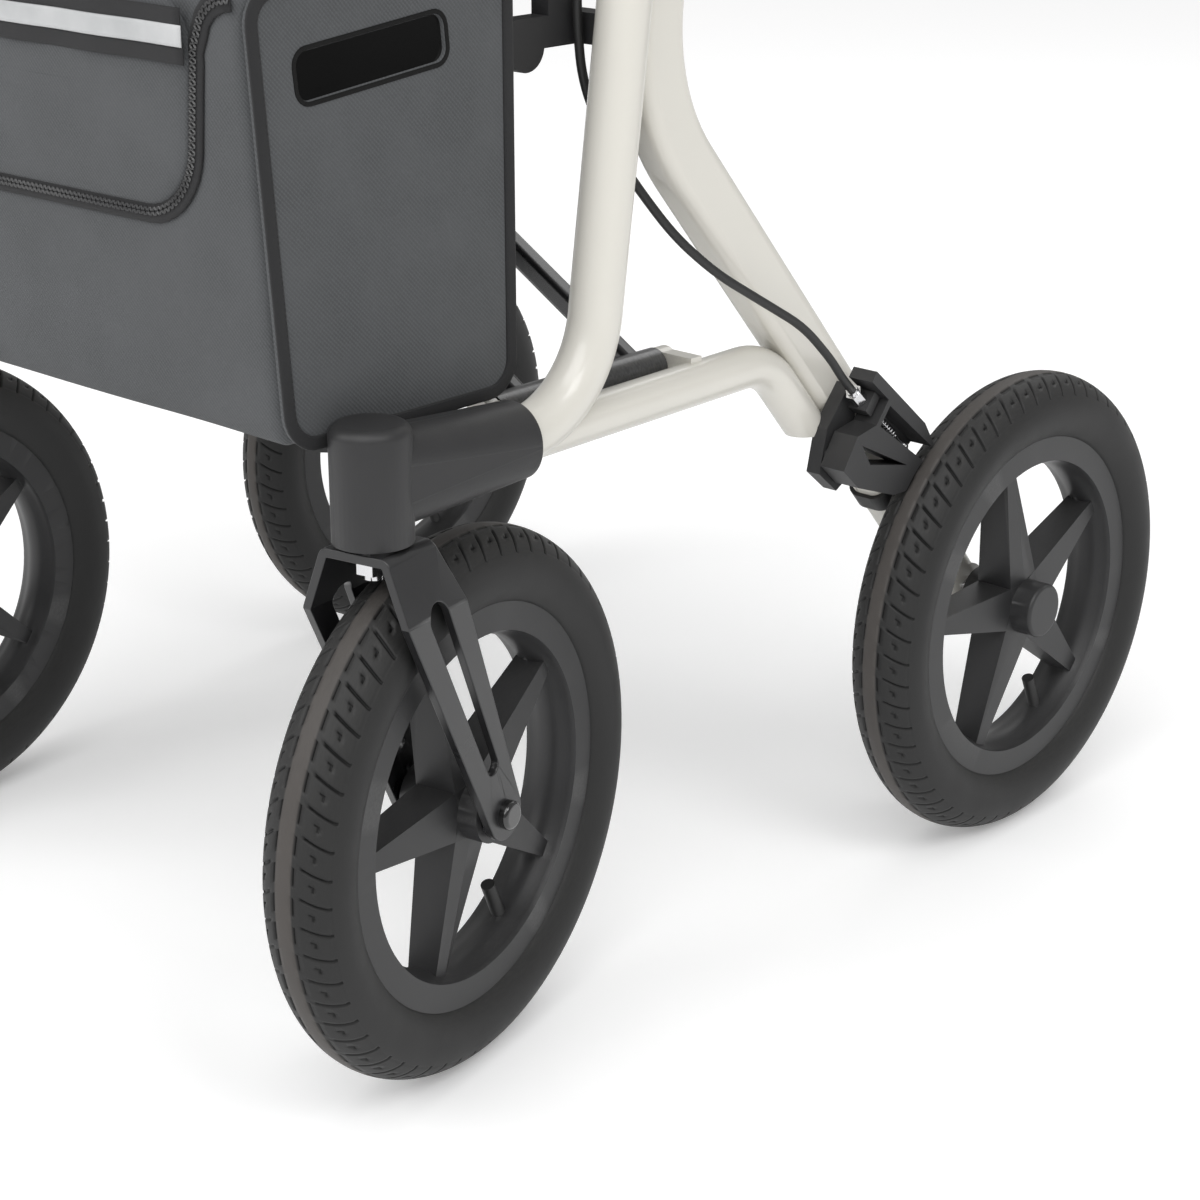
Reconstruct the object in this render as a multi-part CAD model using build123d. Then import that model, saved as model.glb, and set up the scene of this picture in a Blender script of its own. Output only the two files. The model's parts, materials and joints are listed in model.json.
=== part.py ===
"""Four-wheeled folding walker with caster forks, tyre brakes, a seat and a bag.

Frame of the model, in millimetres: the ground is z = 0, +Z is up, the walker faces -Y and
+X is its left side. The origin is under the middle of the walker's outline.
Every left-hand piece is drawn once and mirrored to make its right-hand twin.
"""
from build123d import *
import math
import os

# ---------------------------------------------------------------- driving sizes
# wheels
WHEEL_RADIUS = 150.0
TYRE_HALF_WIDTH = 23.6
TYRE_HALF_HEIGHT = 22.6
TYRE_WALL = 3.2
TUBE_WALL = 1.6
RIM_SEAT_RADIUS = 111.0
RIM_HALF_WIDTH = 16.3
RIM_WALL = 3.0
RIM_INNER_RADIUS = 92.5
RIM_COVE = 3.0
BARREL_CROWN = 7.0
RIM_WELL = 12.0
SPOKES = 5
FRONT_SPOKE_ANGLE = 34.5
REAR_SPOKE_ANGLE = 30.0
SPOKE_ROOT_HALF_DEPTH = 13.0
SPOKE_TIP_HALF_DEPTH = 9.0
SPOKE_ROOT_HALF_WIDTH = 15.5
SPOKE_TIP_HALF_WIDTH = 4.5
HUB_RADIUS = 17.5
HUB_HALF_WIDTH = 24.5
HUB_CAP_HEIGHT = 3.0
HUB_CAP_ROUNDING = 2.4
SIDE_PLAY = 0.5
BEARING_RADIUS = 13.0
BEARING_WIDTH = 8.0
AXLE_RADIUS = 5.0
RUNNING_GAP = 0.04
VALVE_RADIUS = 4.0
VALVE_ANGLE = 295.0
VALVE_TIP_RADIUS = 68.0
REAR_WHEEL_X = 284.0
REAR_AXLE_Y = 228.0

# side frame
FRAME_X = 250.0
POST_LEAN = 8.0
POST_FOOT_Y = -136.0
SOCKET_AXIS_Z = 346.0
FRONT_TUBE_RADIUS = 14.3
FRONT_TUBE_WALL = 2.5
FRONT_BEND = 62.0
POST_TOP_Z = 640.0
LOWER_TUBE_RADIUS = 12.2
LOWER_TUBE_WALL = 2.0
LOWER_TUBE_Z = 343.0
LOWER_TUBE_REAR_X = 243.0
LOWER_BEND = 45.0
LOWER_TUBE_END_Z = 292.0
LEG_X = 240.5
LEG_WIDTH = 36.0
LEG_THICK = 24.0
LEG_CORNER = 8.0
LEG_WALL = 2.5
LEG_SLOPE = 48.65
LEG_BEND = 115.0
LEG_BEHIND_POST = 30.5

# caster
SWIVEL_Y = -289.0
SWIVEL_TRAIL = 66.0
LEFT_CASTER_YAW = 11.3
RIGHT_CASTER_YAW = 4.5
CAP_RADIUS = 20.5
CAP_BOTTOM_Z = 316.0
CAP_TOP_Z = 376.0
CAP_ROUNDING = 6.0
SOCKET_REAR_Y = -190.0
STEM_RADIUS = 6.0
HEAD_BEARING_RADIUS = 14.0
HEAD_BEARING_HEIGHT = 9.0
FORK_PLATE = 5.0
FORK_CROWN_Z = 314.0
FORK_CROWN_HALF = 20.0
FORK_INSIDE_HALF = 27.0
FORK_SHOULDER_Z = 281.0
FORK_CROWN_FRONT = -17.0
FORK_CROWN_REAR = 21.5
FORK_EYE_RADIUS = 14.5
FORK_SLOT_TOP = (9.5, 278.5, 7.8)
FORK_SLOT_FOOT = (54.0, 182.0, 5.0)

# folding brace
RAIL_X = 220.0
RAIL_Z = 350.0
RAIL_FRONT_Y = -175.0
RAIL_REAR_Y = -47.0
RAIL_RADIUS = 10.0
HINGE_ROD_RADIUS = 6.0
SEAT_RAIL_X = 205.0
CROSS_Z = 480.0
SEAT_RAIL_FRONT_Y = -192.0
SEAT_RAIL_REAR_Y = 12.0
STRUT_DEPTH = 11.0
STRUT_HEIGHT = 13.0
OUTER_STRUT_Y = (-152.0, -62.0)
STRUT_SPACING = 14.0
PIVOT_RADIUS = 4.0
RECEIVER_X = 213.5
RECEIVER_Z = 541.0
RECEIVER_HALF_WIDTH = 6.0
RECEIVER_HALF_HEIGHT = 8.0
SADDLE_Y = (-130.0, -108.0)
SADDLE_GAP = 0.5

# handle
POST_BORE_GAP = 0.06
POST_RADIUS = FRONT_TUBE_RADIUS - FRONT_TUBE_WALL - POST_BORE_GAP
POST_WALL = 2.0
POST_INSERT_Z = 490.0
HANDLE_Z = 902.0
HANDLE_BEND = 45.0
HANDLE_END_Y = 128.0
GRIP_RADIUS = 17.0
GRIP_LENGTH = 132.0
GRIP_BORE_GAP = 0.05
LEVER_PIVOT_Y = -8.0
LEVER_PIVOT_DROP = 24.0
LEVER_LENGTH = 118.0
CLAMP_X = 247.5
CLAMP_HALF_WIDTH = 22.0
CLAMP_HEIGHT = 34.0
CLAMP_WALL = 6.0

# tyre brake
BRAKE_AXIS_X = 268.0
ADJUSTER_POINT = (78.0, 315.5)
BRAKE_SLOPE = 39.7
BRAKE_ARM_INNER_X = 263.0
BRAKE_ARM_OUTER_X = 280.0
BRAKE_PIVOT = (60.0, 282.0)
BRAKE_PIN_COVER = 3.5
BRAKE_WEB = 1.5
BRAKE_PIN_RADIUS = 4.0
SHOE_GAP = 1.6
CABLE_RADIUS = 2.5

# soft parts
FABRIC_GAP = 0.6
SEAT_THICK = 16.0
BAG_HALF_WIDTH = 229.0
BAG_REAR_Y = -166.0
BAG_FRONT_FOOT_Y = -323.0
BAG_FRONT_TOP_Y = -338.0
BAG_BOTTOM_Z = 361.0
BAG_TOP_Z = 584.0
BAG_WALL = 4.0
BAG_CORNER = 18.0
BAG_SLOT = (90.0, 24.0)
BAG_SLOT_PLACE = (-260.0, 543.5)
BAG_SLOT_TILT = 6.0
BAG_SLOT_CORNER = 7.0
STRAP_BOTTOM_Z = 633.0
STRAP_HEIGHT = 60.0
STRAP_THICK = 12.0
STRAP_FRONT_Y = -215.0

# ---------------------------------------------------------------- derived places
LEAN = math.radians(POST_LEAN)
POST_UP = Vector(0, math.sin(LEAN), math.cos(LEAN))
LEG_DOWN = Vector(0, math.cos(math.radians(LEG_SLOPE)), -math.sin(math.radians(LEG_SLOPE)))


def post_axis(height):
    """Point on the front tube's leaning axis at a height above the ground."""
    rise = height - SOCKET_AXIS_Z
    return Vector(FRAME_X, POST_FOOT_Y + rise * math.tan(LEAN), height)


# ---------------------------------------------------------------- drawing helpers
def rounded_path(points, radii):
    """Straight runs joined by tangent arcs. radii holds one radius per inner point."""
    points = [Vector(*p) for p in points]
    edges = []
    start = points[0]
    for before, corner, after, radius in zip(points, points[1:], points[2:], radii):
        inward = (corner - before).normalized()
        outward = (after - corner).normalized()
        turn = math.acos(max(-1.0, min(1.0, inward.dot(outward))))
        reach = radius * math.tan(turn / 2)
        arc_start = corner - inward * reach
        arc_end = corner + outward * reach
        middle = (outward - inward).normalized()
        bulge = radius / math.cos(turn / 2) - radius
        if (arc_start - start).length > 0.01:
            edges.append(Line(start, arc_start))
        edges.append(ThreePointArc(arc_start, corner + middle * bulge, arc_end))
        start = arc_end
    edges.append(Line(start, points[-1]))
    return Wire(edges)


def swept(path, section, side=(1, 0, 0)):
    """Sweep a flat section along a path, with the section's x kept along side."""
    start = Plane(origin=path @ 0, x_dir=side, z_dir=path % 0)
    return sweep(start * section, path=path)


def round_bar(path, radius):
    """Solid round bar along a path."""
    return swept(path, Circle(radius), (path % 0).cross(Vector(0.3, 0.2, 0.9)))


def rod_x(radius, x0, x1, y, z):
    """Cylinder along X between two x values."""
    return Plane(origin=(x0, y, z), z_dir=(1, 0, 0)) * extrude(Circle(radius), x1 - x0)


def rod_y(radius, y0, y1, x, z):
    """Cylinder along Y between two y values."""
    return Plane(origin=(x, y0, z), z_dir=(0, 1, 0)) * extrude(Circle(radius), y1 - y0)


def rod_z(radius, z0, z1, x, y):
    """Upright cylinder between two heights."""
    return Pos(x, y, z0) * extrude(Circle(radius), z1 - z0)


def block(x0, x1, y0, y1, z0, z1):
    """Box from its lowest to its highest corner."""
    middle = Pos((x0 + x1) / 2, (y0 + y1) / 2, (z0 + z1) / 2)
    return middle * Box(x1 - x0, y1 - y0, z1 - z0)


def side_plate(outline, x0, x1):
    """Extrude a face drawn in (y, z) between two x values."""
    plane = Plane(origin=(x0, 0, 0), x_dir=(0, 1, 0), z_dir=(1, 0, 0))
    return plane * extrude(outline, x1 - x0)


def hex_nut(radius, x0, x1, y, z):
    """Six-sided nut along X."""
    nut = extrude(RegularPolygon(radius, 6), x1 - x0)
    return Plane(origin=(x0, y, z), z_dir=(1, 0, 0)) * nut


# ---------------------------------------------------------------- side frame
def front_tube_path():
    """Axis of the front tube, from inside the caster socket to its leaning top."""
    foot = (FRAME_X, SOCKET_REAR_Y - 25, SOCKET_AXIS_Z)
    corner = (FRAME_X, POST_FOOT_Y, SOCKET_AXIS_Z)
    return rounded_path([foot, corner, post_axis(POST_TOP_Z)], [FRONT_BEND])


def front_tube_solid():
    return round_bar(front_tube_path(), FRONT_TUBE_RADIUS)


def lower_tube_path():
    """Axis of the lower tube: level from the socket, then down along the rear leg."""
    nx = math.sin(math.radians(LEG_SLOPE))
    nz = math.cos(math.radians(LEG_SLOPE))
    leg_line = REAR_AXLE_Y * nx + WHEEL_RADIUS * nz
    tube_line = leg_line - LEG_WIDTH / 2 - LOWER_TUBE_RADIUS + 1.5
    corner_y = (tube_line - LOWER_TUBE_Z * nz) / nx
    corner = Vector(LOWER_TUBE_REAR_X, corner_y, LOWER_TUBE_Z)
    foot = (FRAME_X, SOCKET_REAR_Y - 60, LOWER_TUBE_Z)
    end = corner + LEG_DOWN * 90
    return rounded_path([foot, corner, end], [LOWER_BEND])


def lower_tube_solid():
    bar = round_bar(lower_tube_path(), LOWER_TUBE_RADIUS)
    return bar - block(200, 300, 0, 150, 150, LOWER_TUBE_END_Z)


def leg_path():
    """Axis of the flat rear leg: down behind the front tube, then back to the axle."""
    back = Vector(0, math.cos(LEAN), -math.sin(LEAN))
    top = post_axis(POST_TOP_Z) + back * LEG_BEHIND_POST
    axle = Vector(LEG_X, REAR_AXLE_Y, WHEEL_RADIUS)
    # the two straight runs meet where the leaning line crosses the sloping one
    run = (axle.Y - top.Y) * LEG_DOWN.Z - (axle.Z - top.Z) * LEG_DOWN.Y
    run /= -POST_UP.Y * LEG_DOWN.Z + POST_UP.Z * LEG_DOWN.Y
    corner = top - POST_UP * run
    return rounded_path([(LEG_X, top.Y, top.Z), (LEG_X, corner.Y, corner.Z), axle], [LEG_BEND])


def leg_solid():
    bar = swept(leg_path(), RectangleRounded(LEG_THICK, LEG_WIDTH, LEG_CORNER))
    x0 = LEG_X - LEG_THICK / 2
    return bar + rod_x(LEG_WIDTH / 2, x0, x0 + LEG_THICK, REAR_AXLE_Y, WHEEL_RADIUS)


def front_tube():
    bore_path = rounded_path(
        [(FRAME_X, SOCKET_REAR_Y - 30, SOCKET_AXIS_Z), (FRAME_X, POST_FOOT_Y, SOCKET_AXIS_Z),
         post_axis(POST_TOP_Z + 5)], [FRONT_BEND])
    bore = round_bar(bore_path, POST_RADIUS + POST_BORE_GAP)
    return front_tube_solid() - lower_tube_solid() - bore


def hinge_lugs():
    """Rod that the folding brace turns on, and the two lugs that carry it."""
    rod = rod_y(HINGE_ROD_RADIUS, RAIL_FRONT_Y - 10, RAIL_REAR_Y + 12, RAIL_X, RAIL_Z)
    lugs = []
    for y0 in (RAIL_FRONT_Y - 10, RAIL_REAR_Y + 1):
        lug = block(RAIL_X, FRAME_X - 4, y0, y0 + 9, RAIL_Z - 11, RAIL_Z + 8)
        eye = rod_y(RAIL_RADIUS - 0.5, y0, y0 + 9, RAIL_X, RAIL_Z)
        lugs.append(lug + eye)
    return rod + lugs[0] + lugs[1]


def lower_tube():
    lugs = hinge_lugs() - front_tube_solid()
    inner = round_bar(lower_tube_path(), LOWER_TUBE_RADIUS - LOWER_TUBE_WALL)
    return lower_tube_solid() + lugs - inner


def rear_leg():
    leg = leg_solid() - front_tube_solid() - lower_tube_solid()
    section = RectangleRounded(LEG_THICK - 2 * LEG_WALL, LEG_WIDTH - 2 * LEG_WALL, 4.0)
    hollow = swept(leg_path(), section)
    solid_foot = rod_x(LEG_WIDTH / 2 + 8, LEG_X - 20, LEG_X + 20, REAR_AXLE_Y, WHEEL_RADIUS)
    wall_bore = rod_x(AXLE_RADIUS, LEG_X - 20, LEG_X + 20, REAR_AXLE_Y, WHEEL_RADIUS)
    return leg - (hollow - solid_foot - front_tube_solid()) - wall_bore


# ---------------------------------------------------------------- caster head
def caster_housing():
    """Plastic cap over the swivel bearings, with the socket that the tubes enter."""
    cap = rod_z(CAP_RADIUS, CAP_BOTTOM_Z, CAP_TOP_Z, FRAME_X, SWIVEL_Y)
    front = Plane(origin=(FRAME_X, SWIVEL_Y, SOCKET_AXIS_Z), z_dir=(0, 1, 0), x_dir=(1, 0, 0))
    rear = Plane(origin=(FRAME_X, SOCKET_REAR_Y, SOCKET_AXIS_Z - 1), z_dir=(0, 1, 0),
                 x_dir=(1, 0, 0))
    arm = loft([front * RectangleRounded(36, 52, 16), rear * RectangleRounded(41, 41, 20)])
    body = cap + arm
    top_edges = body.edges().group_by(Axis.Z)[-1]
    body = fillet(top_edges, CAP_ROUNDING)
    bores = rod_z(HEAD_BEARING_RADIUS, CAP_BOTTOM_Z - 1, CAP_TOP_Z - 5, FRAME_X, SWIVEL_Y)
    return body - bores - lower_tube_solid() - front_tube_solid()


def headset_bearings():
    """Upper and lower swivel bearings."""
    rings = []
    for z0 in (CAP_BOTTOM_Z + 1, CAP_TOP_Z - 26):
        ring = rod_z(HEAD_BEARING_RADIUS, z0, z0 + HEAD_BEARING_HEIGHT, FRAME_X, SWIVEL_Y)
        hole = rod_z(STEM_RADIUS + RUNNING_GAP, z0 - 1, z0 + 20, FRAME_X, SWIVEL_Y)
        rings.append(ring - hole)
    return Compound(children=rings)


def caster_place(yaw):
    """Swivel axis at ground height, turned to the caster's resting yaw."""
    return Pos(FRAME_X, SWIVEL_Y, 0) * Rot(0, 0, yaw)


def fork():
    """Bent plate fork, drawn with the swivel axis on Z and the wheel trailing to +Y."""
    half = FORK_INSIDE_HALF + FORK_PLATE
    outline = Polyline((-half, 100), (-half, FORK_SHOULDER_Z), (-FORK_CROWN_HALF, FORK_CROWN_Z),
                       (FORK_CROWN_HALF, FORK_CROWN_Z), (half, FORK_SHOULDER_Z), (half, 100),
                       close=True)
    outer = make_face(outline)
    outer = fillet(outer.vertices().filter_by(lambda v: v.Y > 200), 6.0)
    inner = offset(outer, -FORK_PLATE)
    below = Pos(0, 100) * Rectangle(2 * FORK_INSIDE_HALF, 40)
    front = Plane(origin=(0, 150, 0), x_dir=(1, 0, 0), z_dir=(0, -1, 0))
    plate = front * extrude(outer - inner - below, 300)
    crown = Pos((FORK_CROWN_FRONT + FORK_CROWN_REAR) / 2, (FORK_CROWN_Z + 280) / 2) * Rectangle(
        FORK_CROWN_REAR - FORK_CROWN_FRONT, FORK_CROWN_Z - 280)
    eye = Pos(SWIVEL_TRAIL, WHEEL_RADIUS) * Circle(FORK_EYE_RADIUS)
    side = make_hull((crown + eye).edges())
    body = plate & side_plate(side, -60, 60)
    slot_ends = [Pos(y, z) * Circle(r) for y, z, r in (FORK_SLOT_TOP, FORK_SLOT_FOOT)]
    slot = make_hull((slot_ends[0] + slot_ends[1]).edges())
    body -= side_plate(slot, -60, 60)
    body -= rod_z(STEM_RADIUS, 250, 330, 0, 0)
    return body - rod_x(AXLE_RADIUS, -60, 60, SWIVEL_TRAIL, WHEEL_RADIUS)


def caster_stem():
    """Swivel bolt with a top nut in the cap, a spacer ring and the nut under the crown."""
    underside = FORK_CROWN_Z - FORK_PLATE
    shaft = rod_z(STEM_RADIUS, underside - 12, CAP_TOP_Z - 8, 0, 0)
    top_nut = rod_z(10.0, CAP_TOP_Z - 16, CAP_TOP_Z - 8, 0, 0)
    lower_nut = Pos(0, 0, underside - 9) * extrude(RegularPolygon(9.5, 6), 9)
    spacer = rod_z(9.0, FORK_CROWN_Z, CAP_BOTTOM_Z + 1, 0, 0)
    return shaft + top_nut + lower_nut + spacer


def front_axle():
    """Axle bolt through both fork legs, with domed nuts."""
    outside = FORK_INSIDE_HALF + FORK_PLATE
    y, z = SWIVEL_TRAIL, WHEEL_RADIUS
    bolt = rod_x(AXLE_RADIUS, -outside, outside, y, z)
    for side in (-1, 1):
        x0, x1 = sorted((side * outside, side * (outside + 5)))
        nut = rod_x(8.0, x0, x1, y, z)
        outer_edge = nut.edges().filter_by(GeomType.CIRCLE).sort_by(Axis.X)[0 if side < 0 else -1]
        nut = fillet(outer_edge, 2.5)
        inner0, inner1 = sorted((side * (HUB_HALF_WIDTH + SIDE_PLAY), side * FORK_INSIDE_HALF))
        bolt = bolt + nut + rod_x(8.5, inner0, inner1, y, z)
    return bolt


# ---------------------------------------------------------------- wheels
def around_axle(profile):
    """Turn a face drawn in (x, r) about the wheel's axle, which lies along X."""
    return revolve(profile, Axis.X)


def tyre():
    middle = WHEEL_RADIUS - TYRE_HALF_HEIGHT
    casing = Pos(0, middle) * Ellipse(TYRE_HALF_WIDTH, TYRE_HALF_HEIGHT)
    air = Pos(0, middle) * Ellipse(TYRE_HALF_WIDTH - TYRE_WALL, TYRE_HALF_HEIGHT - TYRE_WALL)
    seat = Pos(0, RIM_SEAT_RADIUS / 2) * Rectangle(100, RIM_SEAT_RADIUS)
    return around_axle(casing - air - seat)


def inner_tube():
    """Inflated tube with its valve stem."""
    middle = WHEEL_RADIUS - TYRE_HALF_HEIGHT
    wide = TYRE_HALF_WIDTH - TYRE_WALL
    tall = TYRE_HALF_HEIGHT - TYRE_WALL
    seat = Pos(0, RIM_SEAT_RADIUS / 2) * Rectangle(100, RIM_SEAT_RADIUS)
    skin = Pos(0, middle) * Ellipse(wide, tall) - seat
    air = Pos(0, middle) * Ellipse(wide - TUBE_WALL, tall - TUBE_WALL)
    air -= Pos(0, (RIM_SEAT_RADIUS + TUBE_WALL) / 2) * Rectangle(100, RIM_SEAT_RADIUS + TUBE_WALL)
    ring = around_axle(skin - air)
    return ring + valve_stem(VALVE_TIP_RADIUS)


def valve_stem(tip_radius):
    """Valve along a radius of the wheel, from the tube to its cap."""
    length = RIM_SEAT_RADIUS + TUBE_WALL / 2 - tip_radius
    stem = Pos(0, 0, tip_radius) * extrude(Circle(VALVE_RADIUS), length)
    return Rot(VALVE_ANGLE - 90, 0, 0) * stem


def rim_profile():
    """Section of the channel rim: hooked flanges, a coved barrel and the tyre well."""
    well = RIM_SEAT_RADIUS - RIM_WELL
    bed = RIM_HALF_WIDTH - RIM_WALL
    lip = RIM_INNER_RADIUS + RIM_COVE
    barrel = [
        Line((-RIM_HALF_WIDTH, RIM_SEAT_RADIUS), (-RIM_HALF_WIDTH, lip)),
        ThreePointArc((-RIM_HALF_WIDTH, lip), (-BARREL_CROWN - 5, lip - 1.2), (-BARREL_CROWN, lip - 3.2)),
        ThreePointArc((-BARREL_CROWN, lip - 3.2), (0, RIM_INNER_RADIUS - 1.6), (BARREL_CROWN, lip - 3.2)),
        ThreePointArc((BARREL_CROWN, lip - 3.2), (BARREL_CROWN + 5, lip - 1.2), (RIM_HALF_WIDTH, lip)),
        Line((RIM_HALF_WIDTH, lip), (RIM_HALF_WIDTH, RIM_SEAT_RADIUS)),
    ]
    channel = Polyline((RIM_HALF_WIDTH, RIM_SEAT_RADIUS), (bed, RIM_SEAT_RADIUS), (bed, well + 3),
                       (7, well), (-7, well), (-bed, well + 3), (-bed, RIM_SEAT_RADIUS),
                       (-RIM_HALF_WIDTH, RIM_SEAT_RADIUS))
    return make_face(barrel + list(channel.edges()))


def spoke():
    """One star spoke along +Y: wide and deep at the hub, slim at the rim."""
    reach = RIM_INNER_RADIUS + 1
    sides = make_face(Polyline(
        (5, -SPOKE_ROOT_HALF_WIDTH), (reach, -SPOKE_TIP_HALF_WIDTH),
        (reach, SPOKE_TIP_HALF_WIDTH), (5, SPOKE_ROOT_HALF_WIDTH), close=True))
    depth = make_face(Polyline(
        (-SPOKE_ROOT_HALF_DEPTH, 5), (-SPOKE_TIP_HALF_DEPTH, reach),
        (SPOKE_TIP_HALF_DEPTH, reach), (SPOKE_ROOT_HALF_DEPTH, 5), close=True))
    slab = Pos(0, 0, -2 * SPOKE_ROOT_HALF_WIDTH) * extrude(depth, 4 * SPOKE_ROOT_HALF_WIDTH)
    return side_plate(sides, -SPOKE_ROOT_HALF_DEPTH, SPOKE_ROOT_HALF_DEPTH) & slab


def rim(spoke_angle):
    """One-piece plastic wheel: channel rim, five star spokes and the hub."""
    body = around_axle(rim_profile())
    body += rod_x(HUB_RADIUS, -HUB_HALF_WIDTH, HUB_HALF_WIDTH, 0, 0)
    for number in range(SPOKES):
        body += Rot(spoke_angle + 360 / SPOKES * number, 0, 0) * spoke()
    body -= rod_x(BEARING_RADIUS - 2, -100, 100, 0, 0)
    for side in (-1, 1):
        x0, x1 = sorted((side * (HUB_HALF_WIDTH - BEARING_WIDTH), side * 100))
        body -= rod_x(BEARING_RADIUS, x0, x1, 0, 0)
    return body - Rot(VALVE_ANGLE - 90, 0, 0) * (Pos(0, 0, 50) * extrude(Circle(VALVE_RADIUS), 100))


def hub_cap():
    """Domed cover on the outer end of a rear hub."""
    dome = rod_x(HUB_RADIUS, HUB_HALF_WIDTH, HUB_HALF_WIDTH + HUB_CAP_HEIGHT, 0, 0)
    rim_edge = dome.edges().filter_by(GeomType.CIRCLE).sort_by(Axis.X)[-1]
    return fillet(rim_edge, HUB_CAP_ROUNDING)


def wheel_bearings():
    rings = []
    for side in (-1, 1):
        x0, x1 = sorted((side * (HUB_HALF_WIDTH - BEARING_WIDTH), side * HUB_HALF_WIDTH))
        ring = rod_x(BEARING_RADIUS, x0, x1, 0, 0)
        rings.append(ring - rod_x(AXLE_RADIUS + RUNNING_GAP, x0 - 1, x1 + 1, 0, 0))
    return Compound(children=rings)


def rear_rim():
    """Rear wheels carry a domed cap over the hub's outer end."""
    return rim(REAR_SPOKE_ANGLE) + hub_cap()


def rear_axle():
    """Stub axle fixed in the rear leg, with its inner nut and a spacer to the hub."""
    inside = LEG_X - LEG_THICK / 2
    outside = LEG_X + LEG_THICK / 2
    hub_inner = REAR_WHEEL_X - HUB_HALF_WIDTH
    y, z = REAR_AXLE_Y, WHEEL_RADIUS
    bolt = rod_x(AXLE_RADIUS, inside, REAR_WHEEL_X + HUB_HALF_WIDTH - SIDE_PLAY, y, z)
    spacer = rod_x(8.5, outside, hub_inner - SIDE_PLAY, y, z)
    return bolt + spacer + hex_nut(9.0, inside - 6, inside, y, z)


# ---------------------------------------------------------------- folding brace
def brace_arm(strut_ys):
    """X-brace arm from the left lower rail to the right seat rail."""
    low = Vector(RAIL_X, 0, RAIL_Z)
    reach = RAIL_X + SEAT_RAIL_X
    slope = math.atan2(CROSS_Z - RAIL_Z, RAIL_X)
    high = Vector(-SEAT_RAIL_X, 0, RAIL_Z + reach * math.tan(slope))
    length = (high - low).length
    sleeve = rod_y(RAIL_RADIUS, RAIL_FRONT_Y, RAIL_REAR_Y, low.X, low.Z)
    seat_rail = rod_y(RAIL_RADIUS, SEAT_RAIL_FRONT_Y, SEAT_RAIL_REAR_Y, high.X, high.Z)
    bore = rod_y(HINGE_ROD_RADIUS + RUNNING_GAP, RAIL_FRONT_Y - 1, RAIL_REAR_Y + 1, low.X, low.Z)
    rail_bore = rod_y(RAIL_RADIUS - 2, SEAT_RAIL_FRONT_Y - 1, SEAT_RAIL_REAR_Y + 1, high.X, high.Z)
    arm = sleeve + seat_rail
    for y in strut_ys:
        plane = Plane(origin=(low.X, y, low.Z), x_dir=(0, 1, 0), z_dir=high - low)
        bar = extrude(plane * RectangleRounded(STRUT_DEPTH, STRUT_HEIGHT, 3.0), length)
        boss = rod_y(11.0, y - STRUT_DEPTH / 2, y + STRUT_DEPTH / 2, 0, CROSS_Z)
        arm += bar + boss
    arm -= bore + rail_bore
    return arm


def brace_arm_a():
    """Outer arm, with the two pivot holes through its middle bosses."""
    return brace_arm(OUTER_STRUT_Y) - pivot_bores(0)


def brace_arm_b():
    """Inner arm, mirrored, so it runs from the right lower rail to the left seat rail."""
    ys = (OUTER_STRUT_Y[0] + STRUT_SPACING, OUTER_STRUT_Y[1] - STRUT_SPACING)
    return mirror(brace_arm(ys), Plane.YZ) - pivot_bores(RUNNING_GAP)


def pivot_bores(gap):
    front, rear = OUTER_STRUT_Y
    bores = rod_y(PIVOT_RADIUS + gap, front - 30, front + 30, 0, CROSS_Z)
    return bores + rod_y(PIVOT_RADIUS + gap, rear - 30, rear + 30, 0, CROSS_Z)


def cross_pivots():
    """Two bolts that join the arms where they cross."""
    half = STRUT_DEPTH / 2
    bolts = []
    for y, way in ((OUTER_STRUT_Y[0], 1), (OUTER_STRUT_Y[1], -1)):
        ends = sorted((y - way * half, y + way * (STRUT_SPACING + half + 1)))
        bolt = rod_y(PIVOT_RADIUS, ends[0], ends[1], 0, CROSS_Z)
        head = sorted((y - way * half, y - way * (half + 4)))
        nut = sorted((y + way * (STRUT_SPACING + half + 1), y + way * (STRUT_SPACING + half + 6)))
        bolt = bolt + rod_y(7.5, head[0], head[1], 0, CROSS_Z) + rod_y(7.0, nut[0], nut[1], 0, CROSS_Z)
        bolts.append(bolt)
    return Compound(children=bolts)


def seat_rail_height():
    return RAIL_Z + (RAIL_X + SEAT_RAIL_X) * (CROSS_Z - RAIL_Z) / RAIL_X


def seat_receiver():
    """Bar on the inside of the front tube with the saddle that holds the seat rail."""
    rail_z = seat_rail_height()
    x0, x1 = RECEIVER_X - RECEIVER_HALF_WIDTH, RECEIVER_X + RECEIVER_HALF_WIDTH
    z0, z1 = RECEIVER_Z - RECEIVER_HALF_HEIGHT, RECEIVER_Z + RECEIVER_HALF_HEIGHT
    y0, y1 = SADDLE_Y
    bar = block(x0, x1, y0 - 28, y1 + 14, z0, z1)
    foot = block(x0, FRAME_X - 4, y1, y1 + 14, z0, z1)
    upright = block(x0, x1, y0, y1, RECEIVER_Z, rail_z + 4)
    saddle = block(SEAT_RAIL_X - RAIL_RADIUS - 3, x1, y0, y1, rail_z - 20, rail_z - 4)
    boss = rod_x(13.0, x0, x1, y0 - 16, RECEIVER_Z - 6)
    body = bar + foot + upright + saddle + boss
    seat_of_rail = RAIL_RADIUS + SADDLE_GAP
    body -= rod_y(seat_of_rail, y0 - 1, y1 + 1, SEAT_RAIL_X, rail_z)
    body -= block(SEAT_RAIL_X - seat_of_rail, SEAT_RAIL_X + seat_of_rail, y0 - 1, y1 + 1, rail_z, rail_z + 10)
    return body - front_tube_solid() - leg_solid()


# ---------------------------------------------------------------- handle
def handle_path(foot_z, end_y):
    corner = post_axis(HANDLE_Z)
    return rounded_path([post_axis(foot_z), corner, (FRAME_X, end_y, HANDLE_Z)], [HANDLE_BEND])


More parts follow.
